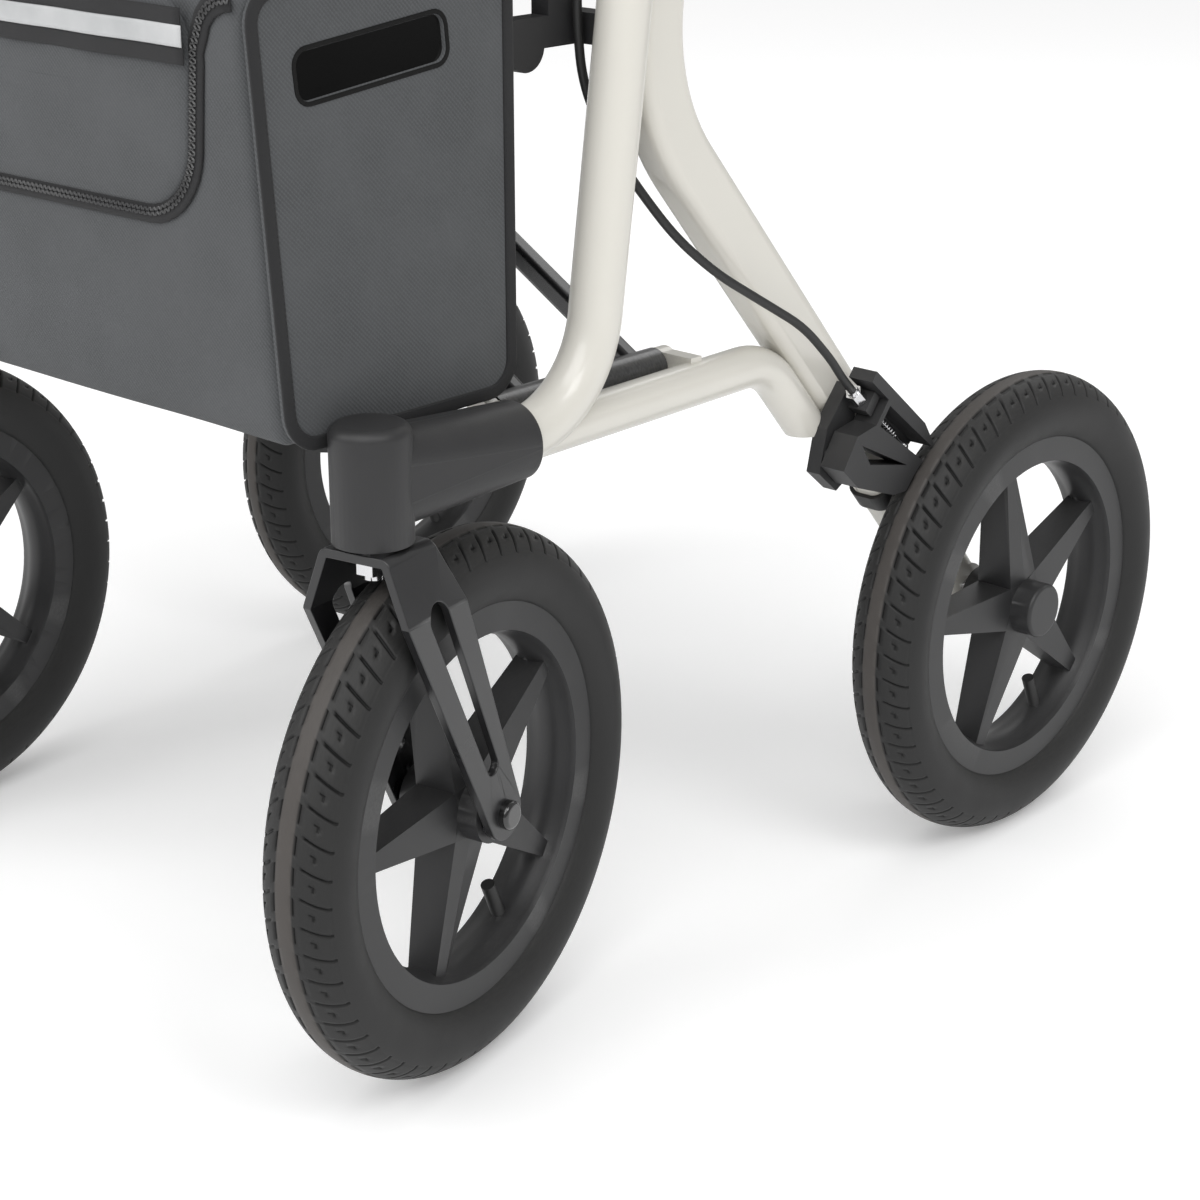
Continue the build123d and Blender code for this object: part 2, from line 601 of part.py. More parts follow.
def handle_post():
    path = handle_path(POST_INSERT_Z, HANDLE_END_Y - 6)
    return round_bar(path, POST_RADIUS) - round_bar(path, POST_RADIUS - POST_WALL)


def hand_grip():
    """Soft grip with the lever's mount moulded on its front end."""
    y0 = HANDLE_END_Y - GRIP_LENGTH
    grip = rod_y(GRIP_RADIUS, y0, HANDLE_END_Y, FRAME_X, HANDLE_Z)
    grip = fillet(grip.edges().filter_by(GeomType.CIRCLE), 5.0)
    mount = rod_y(GRIP_RADIUS, LEVER_PIVOT_Y - 9, y0 + 8, FRAME_X, HANDLE_Z)
    pivot_z = HANDLE_Z - LEVER_PIVOT_DROP
    ear = block(FRAME_X - 10, FRAME_X + 10, LEVER_PIVOT_Y - 9, LEVER_PIVOT_Y + 9, pivot_z - 8, HANDLE_Z)
    body = grip + mount + ear
    body -= block(FRAME_X - 5.5, FRAME_X + 5.5, LEVER_PIVOT_Y - 20, LEVER_PIVOT_Y + 20,
                  pivot_z - 12, pivot_z + 9)
    bore = rod_y(POST_RADIUS + GRIP_BORE_GAP, LEVER_PIVOT_Y - 20, HANDLE_END_Y - 6, FRAME_X, HANDLE_Z)
    pin = rod_x(3.0, FRAME_X - 10, FRAME_X + 10, LEVER_PIVOT_Y, pivot_z)
    return body - bore + pin


def brake_lever():
    """Finger lever under the grip."""
    pivot_z = HANDLE_Z - LEVER_PIVOT_DROP
    eye = rod_x(7.0, FRAME_X - 5, FRAME_X + 5, LEVER_PIVOT_Y, pivot_z)
    lever_path = rounded_path(
        [(FRAME_X, LEVER_PIVOT_Y, pivot_z), (FRAME_X, LEVER_PIVOT_Y + 30, pivot_z - 24),
         (FRAME_X, LEVER_PIVOT_Y + 30 + LEVER_LENGTH, pivot_z - 38)], [18])
    bar = swept(lever_path, RectangleRounded(10, 7, 2.5))
    tip = rod_x(6.0, FRAME_X - 5, FRAME_X + 5, LEVER_PIVOT_Y + 30 + LEVER_LENGTH, pivot_z - 38)
    bore = rod_x(3.0 + RUNNING_GAP, FRAME_X - 20, FRAME_X + 20, LEVER_PIVOT_Y, pivot_z)
    return eye + bar + tip - bore


def post_clamp():
    """Collar on top of the frame that clamps the handle post, and its hand knob."""
    middle = post_axis(POST_TOP_Z)
    plane = Plane(origin=middle, x_dir=(1, 0, 0), z_dir=POST_UP)
    length = FRONT_TUBE_RADIUS + LEG_BEHIND_POST + LEG_WIDTH / 2 + CLAMP_WALL
    centre = (LEG_BEHIND_POST + LEG_WIDTH / 2 - FRONT_TUBE_RADIUS) / 2
    outline = RectangleRounded(2 * CLAMP_HALF_WIDTH, length, 15)
    section = Pos(CLAMP_X - FRAME_X, centre) * outline
    collar = extrude(plane.offset(-CLAMP_HEIGHT / 2) * section, CLAMP_HEIGHT)
    bore = extrude(plane.offset(-60) * Circle(POST_RADIUS + POST_BORE_GAP), 120)
    collar = collar - front_tube_solid() - leg_solid() - bore
    stud = rod_x(5.0, FRAME_X + 16, FRAME_X + 26, middle.Y, POST_TOP_Z + 9)
    knob = rod_x(15.0, FRAME_X + 24, FRAME_X + 38, middle.Y, POST_TOP_Z + 9)
    knob = fillet(knob.edges().filter_by(GeomType.CIRCLE), 3.0)
    collar = collar + stud + knob
    return collar - cable_pocket()


# ---------------------------------------------------------------- tyre brake
# Route of the left brake cable, from the pocket under the clamp to the adjuster.
CABLE_ROUTE = [
    (229, -112, 632), (228, -113, 612), (226, -115, 582), (225, -115, 548), (226, -112, 515),
    (233, -104, 487), (246, -92, 460), (256, -73, 432), (262, -45, 408), (266, -10, 387),
    (268, 26, 366), (268, 52, 342), (268, 63.9, 328.2), (268, 72.6, 320.0),
]


def cable_radii(route):
    """Largest even bend radius that each inner point's two runs allow."""
    points = [Vector(*p) for p in route]
    radii = []
    for before, corner, after in zip(points, points[1:], points[2:]):
        inward, outward = corner - before, after - corner
        turn = math.acos(inward.normalized().dot(outward.normalized()))
        radii.append(0.45 * min(inward.length, outward.length) / math.tan(turn / 2))
    return radii


def brake_cable():
    return round_bar(rounded_path(CABLE_ROUTE, cable_radii(CABLE_ROUTE)), CABLE_RADIUS)


def cable_pocket():
    """Blind hole in the clamp that the cable's end sits in."""
    start = Vector(*CABLE_ROUTE[0])
    way = (Vector(*CABLE_ROUTE[1]) - start).normalized()
    return Plane(origin=start, z_dir=way) * extrude(Circle(CABLE_RADIUS), 60)


def arm_point(along, above):
    """Point beside the brake's cable line: distance along it, and above it, as (y, z)."""
    slope = math.radians(BRAKE_SLOPE)
    y = ADJUSTER_POINT[0] + along * math.cos(slope) + above * math.sin(slope)
    z = ADJUSTER_POINT[1] - along * math.sin(slope) + above * math.cos(slope)
    return (y, z)


def brake_line_plane(along):
    y, z = arm_point(along, 0)
    slope = math.radians(BRAKE_SLOPE)
    return Plane(origin=(BRAKE_AXIS_X, y, z), x_dir=(1, 0, 0),
                 z_dir=(0, math.cos(slope), -math.sin(slope)))


def cable_adjuster():
    """Ferrule, hexagon and threaded barrel that end the cable's outer sleeve."""
    last = Vector(*CABLE_ROUTE[-1])
    way = (last - Vector(*CABLE_ROUTE[-2])).normalized()
    plane = Plane(origin=last, x_dir=(1, 0, 0), z_dir=way)
    ferrule = extrude(plane * Circle(3.6), 4)
    hexagon = extrude(plane.offset(2.5) * RegularPolygon(5.2, 6), 10.5)
    return ferrule + hexagon + extrude(plane.offset(12) * Circle(2.6), 7)


def brake_bracket():
    """Plate on the leg's outer face with the pivot pin, cable stop and leg strap."""
    inner = LEG_X + LEG_THICK / 2
    points = [arm_point(-3, 5), arm_point(9, 7), arm_point(14, -6), arm_point(38, -30),
              arm_point(30, -50), arm_point(8, -50), arm_point(-4, -26)]
    plate = side_plate(make_face(Polyline(*points, close=True)), inner, BRAKE_ARM_INNER_X - 1)
    stop = [arm_point(5, 6.5), arm_point(12, 6.5), arm_point(12, -6.5), arm_point(5, -6.5)]
    plate += side_plate(make_face(Polyline(*stop, close=True)), inner, BRAKE_AXIS_X + 7)
    y, z = BRAKE_PIVOT
    pin = rod_x(BRAKE_PIN_RADIUS, inner + 2, BRAKE_ARM_OUTER_X - BRAKE_PIN_COVER - RUNNING_GAP, y, z)
    body = plate + pin + leg_strap()
    return body - cable_adjuster() - brake_cable() - leg_solid() - lower_tube_solid()


def leg_strap():
    """Band round the leg that holds the bracket."""
    nx = math.sin(math.radians(LEG_SLOPE))
    leg_line = REAR_AXLE_Y - 132 * math.cos(math.radians(LEG_SLOPE))
    height = WHEEL_RADIUS + 132 * nx
    plane = Plane(origin=(LEG_X, leg_line, height), x_dir=(1, 0, 0), z_dir=LEG_DOWN)
    band = RectangleRounded(LEG_THICK + 5, LEG_WIDTH + 5, LEG_CORNER + 2)
    return extrude(plane * band, 13)


def brake_arm():
    """Lever arm whose concave foot presses on the tread."""
    points = [arm_point(-8, 14), arm_point(58, 14), arm_point(78, 8), arm_point(84, -4),
              arm_point(80, -18), arm_point(60, -34), arm_point(24, -47), arm_point(4, -46),
              arm_point(2, -24), arm_point(14, -10), arm_point(14, 7), arm_point(-8, 7)]
    body = side_plate(make_face(Polyline(*points, close=True)), BRAKE_ARM_INNER_X, BRAKE_ARM_OUTER_X)
    beyond = BRAKE_ARM_OUTER_X + 1
    slot = [arm_point(18, 5), arm_point(76, 6.5), arm_point(76, -4), arm_point(18, -9)]
    body -= side_plate(make_face(Polyline(*slot, close=True)), BRAKE_ARM_INNER_X + BRAKE_WEB, beyond)
    window = [arm_point(10, -26), arm_point(59, -14), arm_point(25, -31)]
    body -= side_plate(make_face(Polyline(*window, close=True)), BRAKE_ARM_INNER_X - 1, beyond)
    entry = extrude(brake_line_plane(8) * Circle(2.6), 20)
    tread = rod_x(WHEEL_RADIUS + SHOE_GAP, BRAKE_ARM_INNER_X - 1, beyond, REAR_AXLE_Y, WHEEL_RADIUS)
    y, z = BRAKE_PIVOT
    bore = rod_x(BRAKE_PIN_RADIUS + RUNNING_GAP, BRAKE_ARM_INNER_X - 1, BRAKE_ARM_OUTER_X - BRAKE_PIN_COVER, y, z)
    return body - entry - tread - bore


def brake_spring():
    """Return spring round the bare inner cable, in the arm's slot."""
    turns = 7
    length = 26.0
    radius = 2.1
    core = extrude(brake_line_plane(16) * Circle(0.8), 52)
    rings = core
    for turn in range(turns):
        plane = brake_line_plane(22 + length * turn / turns)
        rings += Location(plane) * Torus(radius, 0.55)
    return rings + extrude(brake_line_plane(64) * Circle(2.2), 6)


# ---------------------------------------------------------------- soft parts
def seat():
    z0 = seat_rail_height() + RAIL_RADIUS + FABRIC_GAP
    pad = block(-SEAT_RAIL_X - 8, SEAT_RAIL_X + 8, SEAT_RAIL_FRONT_Y + 4, SEAT_RAIL_REAR_Y - 4,
                z0, z0 + SEAT_THICK)
    return fillet(pad.edges().filter_by(Axis.Z), 20.0)


def bag_form(inset, floor, top, corner):
    """Closed form of the bag, drawn in by an inset, between two heights."""
    outline = make_face(Polyline(
        (BAG_FRONT_FOOT_Y + inset, floor), (BAG_REAR_Y - inset, floor), (BAG_REAR_Y - inset, top),
        (BAG_FRONT_TOP_Y + inset, top), close=True))
    form = side_plate(outline, -BAG_HALF_WIDTH + inset, BAG_HALF_WIDTH - inset)
    return fillet(form.edges().filter_by(Axis.X).group_by(Axis.Z)[0], corner)


def bag():
    """Open-topped fabric bag with a hand slot in each side panel."""
    body = bag_form(0, BAG_BOTTOM_Z, BAG_TOP_Z, BAG_CORNER)
    body -= bag_form(BAG_WALL, BAG_BOTTOM_Z + BAG_WALL, BAG_TOP_Z + 20, BAG_CORNER - BAG_WALL)
    length, height = BAG_SLOT
    slot = Pos(*BAG_SLOT_PLACE) * Rot(0, 0, BAG_SLOT_TILT) * RectangleRounded(length, height, BAG_SLOT_CORNER)
    return body - side_plate(slot, -BAG_HALF_WIDTH - 10, BAG_HALF_WIDTH + 10)


def backrest():
    """Curved strap between the two clamps, bowed to the front."""
    end_y = post_axis(POST_TOP_Z).Y
    end_x = CLAMP_X - CLAMP_HALF_WIDTH - FABRIC_GAP
    arc = ThreePointArc((-end_x, end_y), (0, STRAP_FRONT_Y), (end_x, end_y))
    radius = arc.radius
    centre = arc.arc_center
    ring = Pos(centre.X, centre.Y) * (Circle(radius + STRAP_THICK / 2) - Circle(radius - STRAP_THICK / 2))
    keep = Pos(0, end_y - 100) * Rectangle(2 * end_x, 200)
    return Pos(0, 0, STRAP_BOTTOM_Z) * extrude(ring & keep, STRAP_HEIGHT)


# ---------------------------------------------------------------- build everything
def mirrored(shape):
    return mirror(shape, Plane.YZ)


def wheel_parts(rim_shape):
    return {"tyre": tyre(), "inner_tube": inner_tube(), "rim": rim_shape, "bearings": wheel_bearings()}


def all_nodes():
    nodes = {}
    side = {
        "front_tube": front_tube(), "lower_tube": lower_tube(), "rear_leg": rear_leg(),
        "caster_housing": caster_housing(), "headset_bearings": headset_bearings(),
        "seat_receiver": seat_receiver(), "post_clamp": post_clamp(), "rear_axle": rear_axle(),
        "brake_bracket": brake_bracket(), "cable_adjuster": cable_adjuster(),
        "brake_cable": brake_cable(), "brake_arm": brake_arm(), "brake_spring": brake_spring(),
        "handle_post": handle_post(), "hand_grip": hand_grip(), "brake_lever": brake_lever(),
    }
    for name, shape in side.items():
        nodes[name + "_left"] = shape
        nodes[name + "_right"] = mirrored(shape)
    caster = {"fork": fork(), "caster_stem": caster_stem(), "front_axle": front_axle()}
    front_wheel = wheel_parts(rim(FRONT_SPOKE_ANGLE))
    rear_wheel = wheel_parts(rear_rim())
    hub = Pos(0, SWIVEL_TRAIL, WHEEL_RADIUS)
    for hand, yaw in (("left", LEFT_CASTER_YAW), ("right", -RIGHT_CASTER_YAW)):
        flip = mirrored if hand == "right" else (lambda shape: shape)
        place = caster_place(yaw)
        for name, shape in caster.items():
            nodes[f"{name}_{hand}"] = flip(place * shape)
        for name, shape in front_wheel.items():
            nodes[f"front_{name}_{hand}"] = flip(place * hub * shape)
        rear_place = Pos(REAR_WHEEL_X, REAR_AXLE_Y, WHEEL_RADIUS)
        for name, shape in rear_wheel.items():
            nodes[f"rear_{name}_{hand}"] = flip(rear_place * shape)
    nodes["brace_arm_a"] = brace_arm_a()
    nodes["brace_arm_b"] = brace_arm_b()
    nodes["cross_pivots"] = cross_pivots()
    nodes["seat"] = seat()
    nodes["bag"] = bag()
    nodes["backrest"] = backrest()
    return nodes


def main():
    os.makedirs("parts", exist_ok=True)
    print("cable bend radii", [round(r) for r in cable_radii(CABLE_ROUTE)])
    cable = brake_cable()
    run = rounded_path(CABLE_ROUTE, cable_radii(CABLE_ROUTE)).length
    print("cable length", round(run, 1), "volume ratio",
          round(cable.volume / (math.pi * CABLE_RADIUS ** 2 * run), 4))
    for name, shape in all_nodes().items():
        export_step(shape, f"parts/{name}.step")


main()
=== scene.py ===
"""Outdoor folding walker on air tyres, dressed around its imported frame.

Lengths are metres. The walker stands on z = 0, faces -Y, and +X is its left side.
"""

from __future__ import annotations

import json
import logging
import math
from dataclasses import dataclass, field
from enum import Enum

import bmesh
import bpy
from mathutils import Matrix, Vector, noise

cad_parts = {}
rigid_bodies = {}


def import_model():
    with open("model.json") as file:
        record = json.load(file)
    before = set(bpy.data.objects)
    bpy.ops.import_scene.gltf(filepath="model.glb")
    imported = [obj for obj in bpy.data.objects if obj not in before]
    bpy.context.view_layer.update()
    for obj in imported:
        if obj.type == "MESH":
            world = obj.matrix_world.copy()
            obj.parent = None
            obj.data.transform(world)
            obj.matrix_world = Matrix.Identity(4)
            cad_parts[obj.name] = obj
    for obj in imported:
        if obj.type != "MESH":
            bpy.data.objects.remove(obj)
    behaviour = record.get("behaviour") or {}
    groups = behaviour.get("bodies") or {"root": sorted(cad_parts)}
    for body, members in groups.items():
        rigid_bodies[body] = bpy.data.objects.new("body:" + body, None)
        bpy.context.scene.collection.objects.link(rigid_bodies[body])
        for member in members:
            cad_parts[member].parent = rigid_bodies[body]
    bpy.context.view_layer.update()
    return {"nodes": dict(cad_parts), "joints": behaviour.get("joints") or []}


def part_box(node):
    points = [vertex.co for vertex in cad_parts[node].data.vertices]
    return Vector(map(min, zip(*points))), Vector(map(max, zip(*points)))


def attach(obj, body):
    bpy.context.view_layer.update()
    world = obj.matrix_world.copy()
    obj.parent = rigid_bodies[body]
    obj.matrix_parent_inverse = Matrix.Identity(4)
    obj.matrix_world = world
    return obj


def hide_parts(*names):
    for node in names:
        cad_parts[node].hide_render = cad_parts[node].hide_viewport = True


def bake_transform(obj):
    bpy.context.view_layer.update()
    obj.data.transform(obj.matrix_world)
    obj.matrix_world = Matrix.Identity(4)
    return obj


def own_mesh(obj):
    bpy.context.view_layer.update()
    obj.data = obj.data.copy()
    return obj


LOG = logging.getLogger("walker")
MM = 0.001


class Side(Enum):
    """The walker's two sides, with the sign of their X."""

    LEFT = 1
    RIGHT = -1

    @property
    def word(self) -> str:
        """The side's ending in the frame's names."""
        return self.name.lower()


class Weave(Enum):
    """Which relief a finish carries on its surface."""

    GRAIN = "grain"
    TWILL = "twill"


# ------------------------------------------------------------------ shader graphs

Colour = tuple[float, float, float]
FULL_TURN = 2 * math.pi


@dataclass
class Graph:
    """A shader node tree while it is being built."""

    tree: bpy.types.NodeTree

    def add(self, kind: str, inputs: dict | None = None, **settings: object) -> bpy.types.Node:
        """Adds a node and feeds its inputs.

        Args:
            kind: The node's type without its ShaderNode prefix.
            inputs: For each input name or number, a socket to link or a value to set.
            **settings: Properties of the node.

        Returns:
            The node.
        """
        node = self.tree.nodes.new(f"ShaderNode{kind}")
        for name, value in settings.items():
            setattr(node, name, value)
        for label, value in (inputs or {}).items():
            self.feed(node.inputs[label], value)
        return node

    def feed(self, socket: bpy.types.NodeSocket, value: object) -> None:
        """Links a socket, or sets its value.

        Args:
            socket: The input.
            value: An output socket, or the value to set.
        """
        if isinstance(value, bpy.types.NodeSocket):
            self.tree.links.new(value, socket)
        else:
            socket.default_value = value

    def math(self, kind: str, *values: object) -> bpy.types.NodeSocket:
        """Adds a Math node.

        Args:
            kind: The operation.
            *values: A socket or a number for each input in turn.

        Returns:
            The result.
        """
        return self.add("Math", dict(enumerate(values)), operation=kind).outputs["Value"]

    def spread(self, value: object, **limits: float) -> bpy.types.NodeSocket:
        """Maps a value from one range to another.

        Args:
            value: The socket to map.
            **limits: Any of from_min, from_max, to_min and to_max, as sockets or numbers.

        Returns:
            The mapped value.
        """
        inputs = {label.replace("_", " ").title(): limit for label, limit in limits.items()}
        return self.add("MapRange", {**inputs, "Value": value}).outputs["Result"]

    def place(self) -> bpy.types.NodeSocket:
        """Adds a coordinate node.

        Returns:
            The piece's own coordinates.
        """
        return self.add("TexCoord").outputs["Object"]

    def over(self, below: bpy.types.NodeSocket, colour: object, mask: object,
             blend: str = "MIX") -> bpy.types.NodeSocket:
        """Lays a colour over another.

        Args:
            below: The colour underneath.
            colour: The colour on top, as a socket or as three numbers.
            mask: How much of it covers, as a socket or a number.
            blend: How the two are mixed.

        Returns:
            The mixed colour.
        """
        top = (*colour, 1.0) if isinstance(colour, tuple) else colour
        mix = self.add("Mix", data_type="RGBA", blend_type=blend)
        for label, value in (("B", top), ("Factor", mask), ("A", below)):
            self.feed(mix.inputs[label], value)
        return mix.outputs["Result"]

    def group(self, group: bpy.types.NodeTree, **values: float) -> bpy.types.Node:
        """Places a shared group.

        Args:
            group: The group.
            **values: Its input values.

        Returns:
            The group's node.
        """
        node = self.add("Group", node_tree=group)
        for label, value in values.items():
            self.feed(node.inputs[label], value)
        return node

    def relief(self, height: bpy.types.NodeSocket, distance: float, shader: bpy.types.Node) -> None:
        """Gives a shader a bump.

        Args:
            height: The relief's height.
            distance: How far the relief stands out, in metres.
            shader: The shader that takes it.
        """
        bump = self.add("Bump", {"Distance": distance, "Height": height})
        self.feed(shader.inputs["Normal"], bump.outputs["Normal"])


@dataclass
class Effects:
    """Shader node groups that several finishes share, each built once."""

    fleck_rate: float = 3.0
    cross_thread: float = 0.45
    thread_relief: float = 0.3
    patch_scale: float = 130.0
    dust_scale: float = 60.0
    worn_full: float = 0.62
    built: dict[str, bpy.types.NodeTree] = field(default_factory=dict)

    def get(self, name: str) -> bpy.types.NodeTree:
        """Gives a group, and builds it the first time.

        Args:
            name: One of mottle, grain, twill, wear and dust.

        Returns:
            The group.
        """
        if name not in self.built:
            self.built[name] = bpy.data.node_groups.new(name, "ShaderNodeTree")
            getattr(self, name)(Graph(self.built[name]))
        return self.built[name]

    def ends(self, graph: Graph, knob: str, first: float,
             outputs: tuple[str, ...]) -> tuple[bpy.types.NodeSocket, bpy.types.Node]:
        """Gives a group its one input and its outputs.

        Args:
            graph: The group.
            knob: The input's name.
            first: The input's first value.
            outputs: The outputs' names.

        Returns:
            The input as a socket to read, and the node that takes the outputs.
        """
        sides = graph.tree.interface
        sides.new_socket(name=knob, in_out="INPUT", socket_type="NodeSocketFloat").default_value = first
        for label in outputs:
            sides.new_socket(name=label, in_out="OUTPUT", socket_type="NodeSocketFloat")
        source = graph.tree.nodes.new("NodeGroupInput")
        return source.outputs[knob], graph.tree.nodes.new("NodeGroupOutput")

    def mottle(self, graph: Graph) -> None:
        """Builds a slow cloudy change of tone.

        Args:
            graph: The empty group.
        """
        scale, out = self.ends(graph, "Scale", 20.0, ("Value",))
        cloud = graph.add("TexNoise", {"Detail": 4.0, "Vector": graph.place(), "Scale": scale})
        graph.feed(out.inputs["Value"], cloud.outputs["Fac"])

    def grain(self, graph: Graph) -> None:
        """Builds fine moulded or cast grain.

        Args:
            graph: The empty group.
        """
        scale, out = self.ends(graph, "Scale", 900.0, ("Height",))
        place = graph.place()
        cells = graph.add("TexVoronoi", {"Vector": place, "Scale": scale})
        fuzz = graph.add("TexNoise", {"Detail": 2.0, "Vector": place, "Scale": scale})
        height = graph.math("MULTIPLY", cells.outputs["Distance"], fuzz.outputs["Fac"])
        graph.feed(out.inputs["Height"], height)

    def twill(self, graph: Graph) -> None:
        """Builds a diagonal twill of crossing threads.

        Args:
            graph: The empty group.
        """
        threads, out = self.ends(graph, "Threads", 900.0, ("Height", "Fleck"))
        place = graph.place()
        split = graph.add("SeparateXYZ", {"Vector": place})
        across = graph.math("ADD", split.outputs["X"], split.outputs["Y"])
        pace = graph.math("MULTIPLY", threads, FULL_TURN)
        rise, fall = (graph.math(kind, across, split.outputs["Z"]) for kind in ("ADD", "SUBTRACT"))
        rib, cross = (graph.math("SINE", graph.math("MULTIPLY", way, pace)) for way in (rise, fall))
        weave = graph.math("ADD", rib, graph.math("MULTIPLY", cross, self.cross_thread))
        graph.feed(out.inputs["Height"], graph.math("MULTIPLY_ADD", weave, self.thread_relief))
        rate = graph.math("MULTIPLY", threads, self.fleck_rate)
        fleck = graph.add("TexNoise", {"Detail": 3.0, "Vector": place, "Scale": rate})
        graph.feed(out.inputs["Fleck"], fleck.outputs["Fac"])

    def wear(self, graph: Graph) -> None:
        """Builds a mask of rubbed convex edges.

        Args:
            graph: The empty group.
        """
        reach, out = self.ends(graph, "Reach", 0.5, ("Mask",))
        shape = graph.add("NewGeometry")
        edge = graph.spread(shape.outputs["Pointiness"], from_min=reach, from_max=self.worn_full)
        patch = graph.add("TexNoise", {"Scale": self.patch_scale})
        graph.feed(out.inputs["Mask"], graph.math("MULTIPLY", edge, patch.outputs["Fac"]))

    def dust(self, graph: Graph) -> None:
        """Builds a mask of thin dust on faces that look up.

        Args:
            graph: The empty group.
        """
        amount, out = self.ends(graph, "Amount", 0.1, ("Mask",))
        split = graph.add("SeparateXYZ", {"Vector": graph.add("NewGeometry").outputs["Normal"]})
        up = graph.add("Clamp", {"Value": split.outputs["Z"]}).outputs["Result"]
        cloud = graph.add("TexNoise", {"Scale": self.dust_scale, "Detail": 6.0})
        film = graph.math("MULTIPLY", up, cloud.outputs["Fac"])
        graph.feed(out.inputs["Mask"], graph.math("MULTIPLY", film, amount))


# ------------------------------------------------------------------ finishes

WORN_FROM = 0.53
DUST_TONE = (0.36, 0.35, 0.33)
TYRE_DUST_TONE = (0.34, 0.33, 0.31)
# Near-black painted shade for the tyre's deep grooves.
GROOVE_SHADE = (0.004, 0.004, 0.004)


@dataclass(frozen=True)
class Finish:
    """One finish: its colours, gloss and relief, and how it becomes a material."""

    name: str
    colour: Colour
    shade: Colour
    roughness: float
    spread: float = 0.06
    metallic: float = 0.0
    coat: float = 0.0
    coat_roughness: float = 0.1
    specular: float = 0.5
    sheen: float = 0.0
    weave: Weave = Weave.GRAIN
    relief: float = 0.00004
    scale: float = 900.0
    mottle_scale: float = 14.0
    worn: Colour | None = None
    dust: float = 0.0
    # How much lighter the raised threads are painted: a painted highlight on the weave.
    rib_light: float = 1.45
    fleck_light: float = 1.5

    def material(self, effects: Effects) -> bpy.types.Material:
        """Builds the node material.

        Args:
            effects: The shared node groups.

        Returns:
            The finished material.
        """
        made = bpy.data.materials.new(self.name)
        made.use_nodes = True
        graph = Graph(made.node_tree)
        shader = made.node_tree.nodes["Principled BSDF"]
        shader.inputs["Metallic"].default_value = self.metallic
        shader.inputs["Coat Weight"].default_value = self.coat
        shader.inputs["Coat Roughness"].default_value = self.coat_roughness
        shader.inputs["Specular IOR Level"].default_value = self.specular
        shader.inputs["Sheen Weight"].default_value = self.sheen
        tone = graph.group(effects.get("mottle"), Scale=self.mottle_scale).outputs["Value"]
        colour = self.tones(graph, tone)
        smooth, rough = max(0.02, self.roughness - self.spread), min(1.0, self.roughness + self.spread)
        gloss = graph.spread(tone, from_min=0.3, from_max=0.7, to_min=smooth, to_max=rough)
        graph.feed(shader.inputs["Roughness"], gloss)
        if self.weave is Weave.TWILL:
            cloth = graph.group(effects.get("twill"), Threads=self.scale)
            height = cloth.outputs["Height"]
            # Raised threads are painted lighter: a painted highlight on the weave.
            colour = self.lighter(graph, colour, self.rib_light, height, 0.35, 1.0)
            colour = self.lighter(graph, colour, self.fleck_light, cloth.outputs["Fleck"], 0.5, 0.9)
        else:
            height = graph.group(effects.get("grain"), Scale=self.scale).outputs["Height"]
        if self.worn is not None:
            wear = graph.group(effects.get("wear"), Reach=WORN_FROM)
            colour = graph.over(colour, self.worn, graph.spread(wear.outputs["Mask"]))
        if self.dust > 0:
            film = graph.group(effects.get("dust"), Amount=self.dust)
            colour = graph.over(colour, DUST_TONE, graph.spread(film.outputs["Mask"]))
        graph.feed(shader.inputs["Base Color"], colour)
        graph.relief(height, self.relief, shader)
        return made

    def tones(self, graph: Graph, value: bpy.types.NodeSocket) -> bpy.types.NodeSocket:
        """Mixes the finish's two tones.

        Args:
            graph: The material's graph.
            value: What drives the mix.

        Returns:
            The mixed colour.
        """
        ramp = graph.add("ValToRGB", {"Fac": value})
        plan = ((0.35, self.colour), (0.68, self.shade))
        for stop, (position, tone) in zip(ramp.color_ramp.elements, plan):
            stop.position = position
            stop.color = (*tone, 1.0)
        return ramp.outputs["Color"]

    def lighter(self, graph: Graph, below: bpy.types.NodeSocket, factor: float, mask: bpy.types.NodeSocket,
                low: float, high: float) -> bpy.types.NodeSocket:
        """Lays a lighter tone over the cloth where the mask rises, which paints a highlight on the raised
        threads and lays random flecks.

        Args:
            graph: The material's graph.
            below: The colour underneath.
            factor: How much lighter the tone is than the finish's own.
            mask: What the tone follows.
            low: The mask's value with no tone.
            high: The mask's value with the full tone.

        Returns:
            The mixed colour.
        """
        tone = tuple(part * factor for part in self.colour)
        return graph.over(below, tone, graph.spread(mask, from_min=low, from_max=high))


FRAME_PAINT = Finish("frame_paint", (0.72, 0.70, 0.64), (0.69, 0.67, 0.61), 0.34, coat=0.5, coat_roughness=0.12,
                     relief=0.00002, scale=500.0, mottle_scale=5.0, spread=0.03, dust=0.04)
FORK_COAT = Finish("fork_coat", (0.010, 0.010, 0.011), (0.014, 0.014, 0.015), 0.30, coat=0.25,
                   coat_roughness=0.2, relief=0.00002, scale=2200.0, worn=(0.10, 0.10, 0.10), dust=0.03)
MOULDED = Finish("moulded_plastic", (0.021, 0.021, 0.022), (0.028, 0.028, 0.029), 0.46, relief=0.00006,
                 scale=1400.0, worn=(0.06, 0.06, 0.06), specular=0.42, dust=0.04)
WHEEL_NYLON = Finish("wheel_nylon", (0.023, 0.023, 0.024), (0.030, 0.030, 0.031), 0.42, relief=0.00004,
                     scale=1500.0, worn=(0.07, 0.07, 0.07), specular=0.42, dust=0.04)
STEEL = Finish("bright_steel", (0.78, 0.78, 0.79), (0.62, 0.62, 0.63), 0.16, metallic=1.0, relief=0.00002,
               scale=1800.0)
AXLE_BLACK = Finish("axle_black", (0.006, 0.006, 0.006), (0.01, 0.01, 0.01), 0.16, coat=0.8, coat_roughness=0.05,
                    relief=0.00001)
SLEEVE = Finish("cable_sleeve", (0.012, 0.012, 0.012), (0.018, 0.018, 0.018), 0.5, relief=0.00004, scale=1500.0)
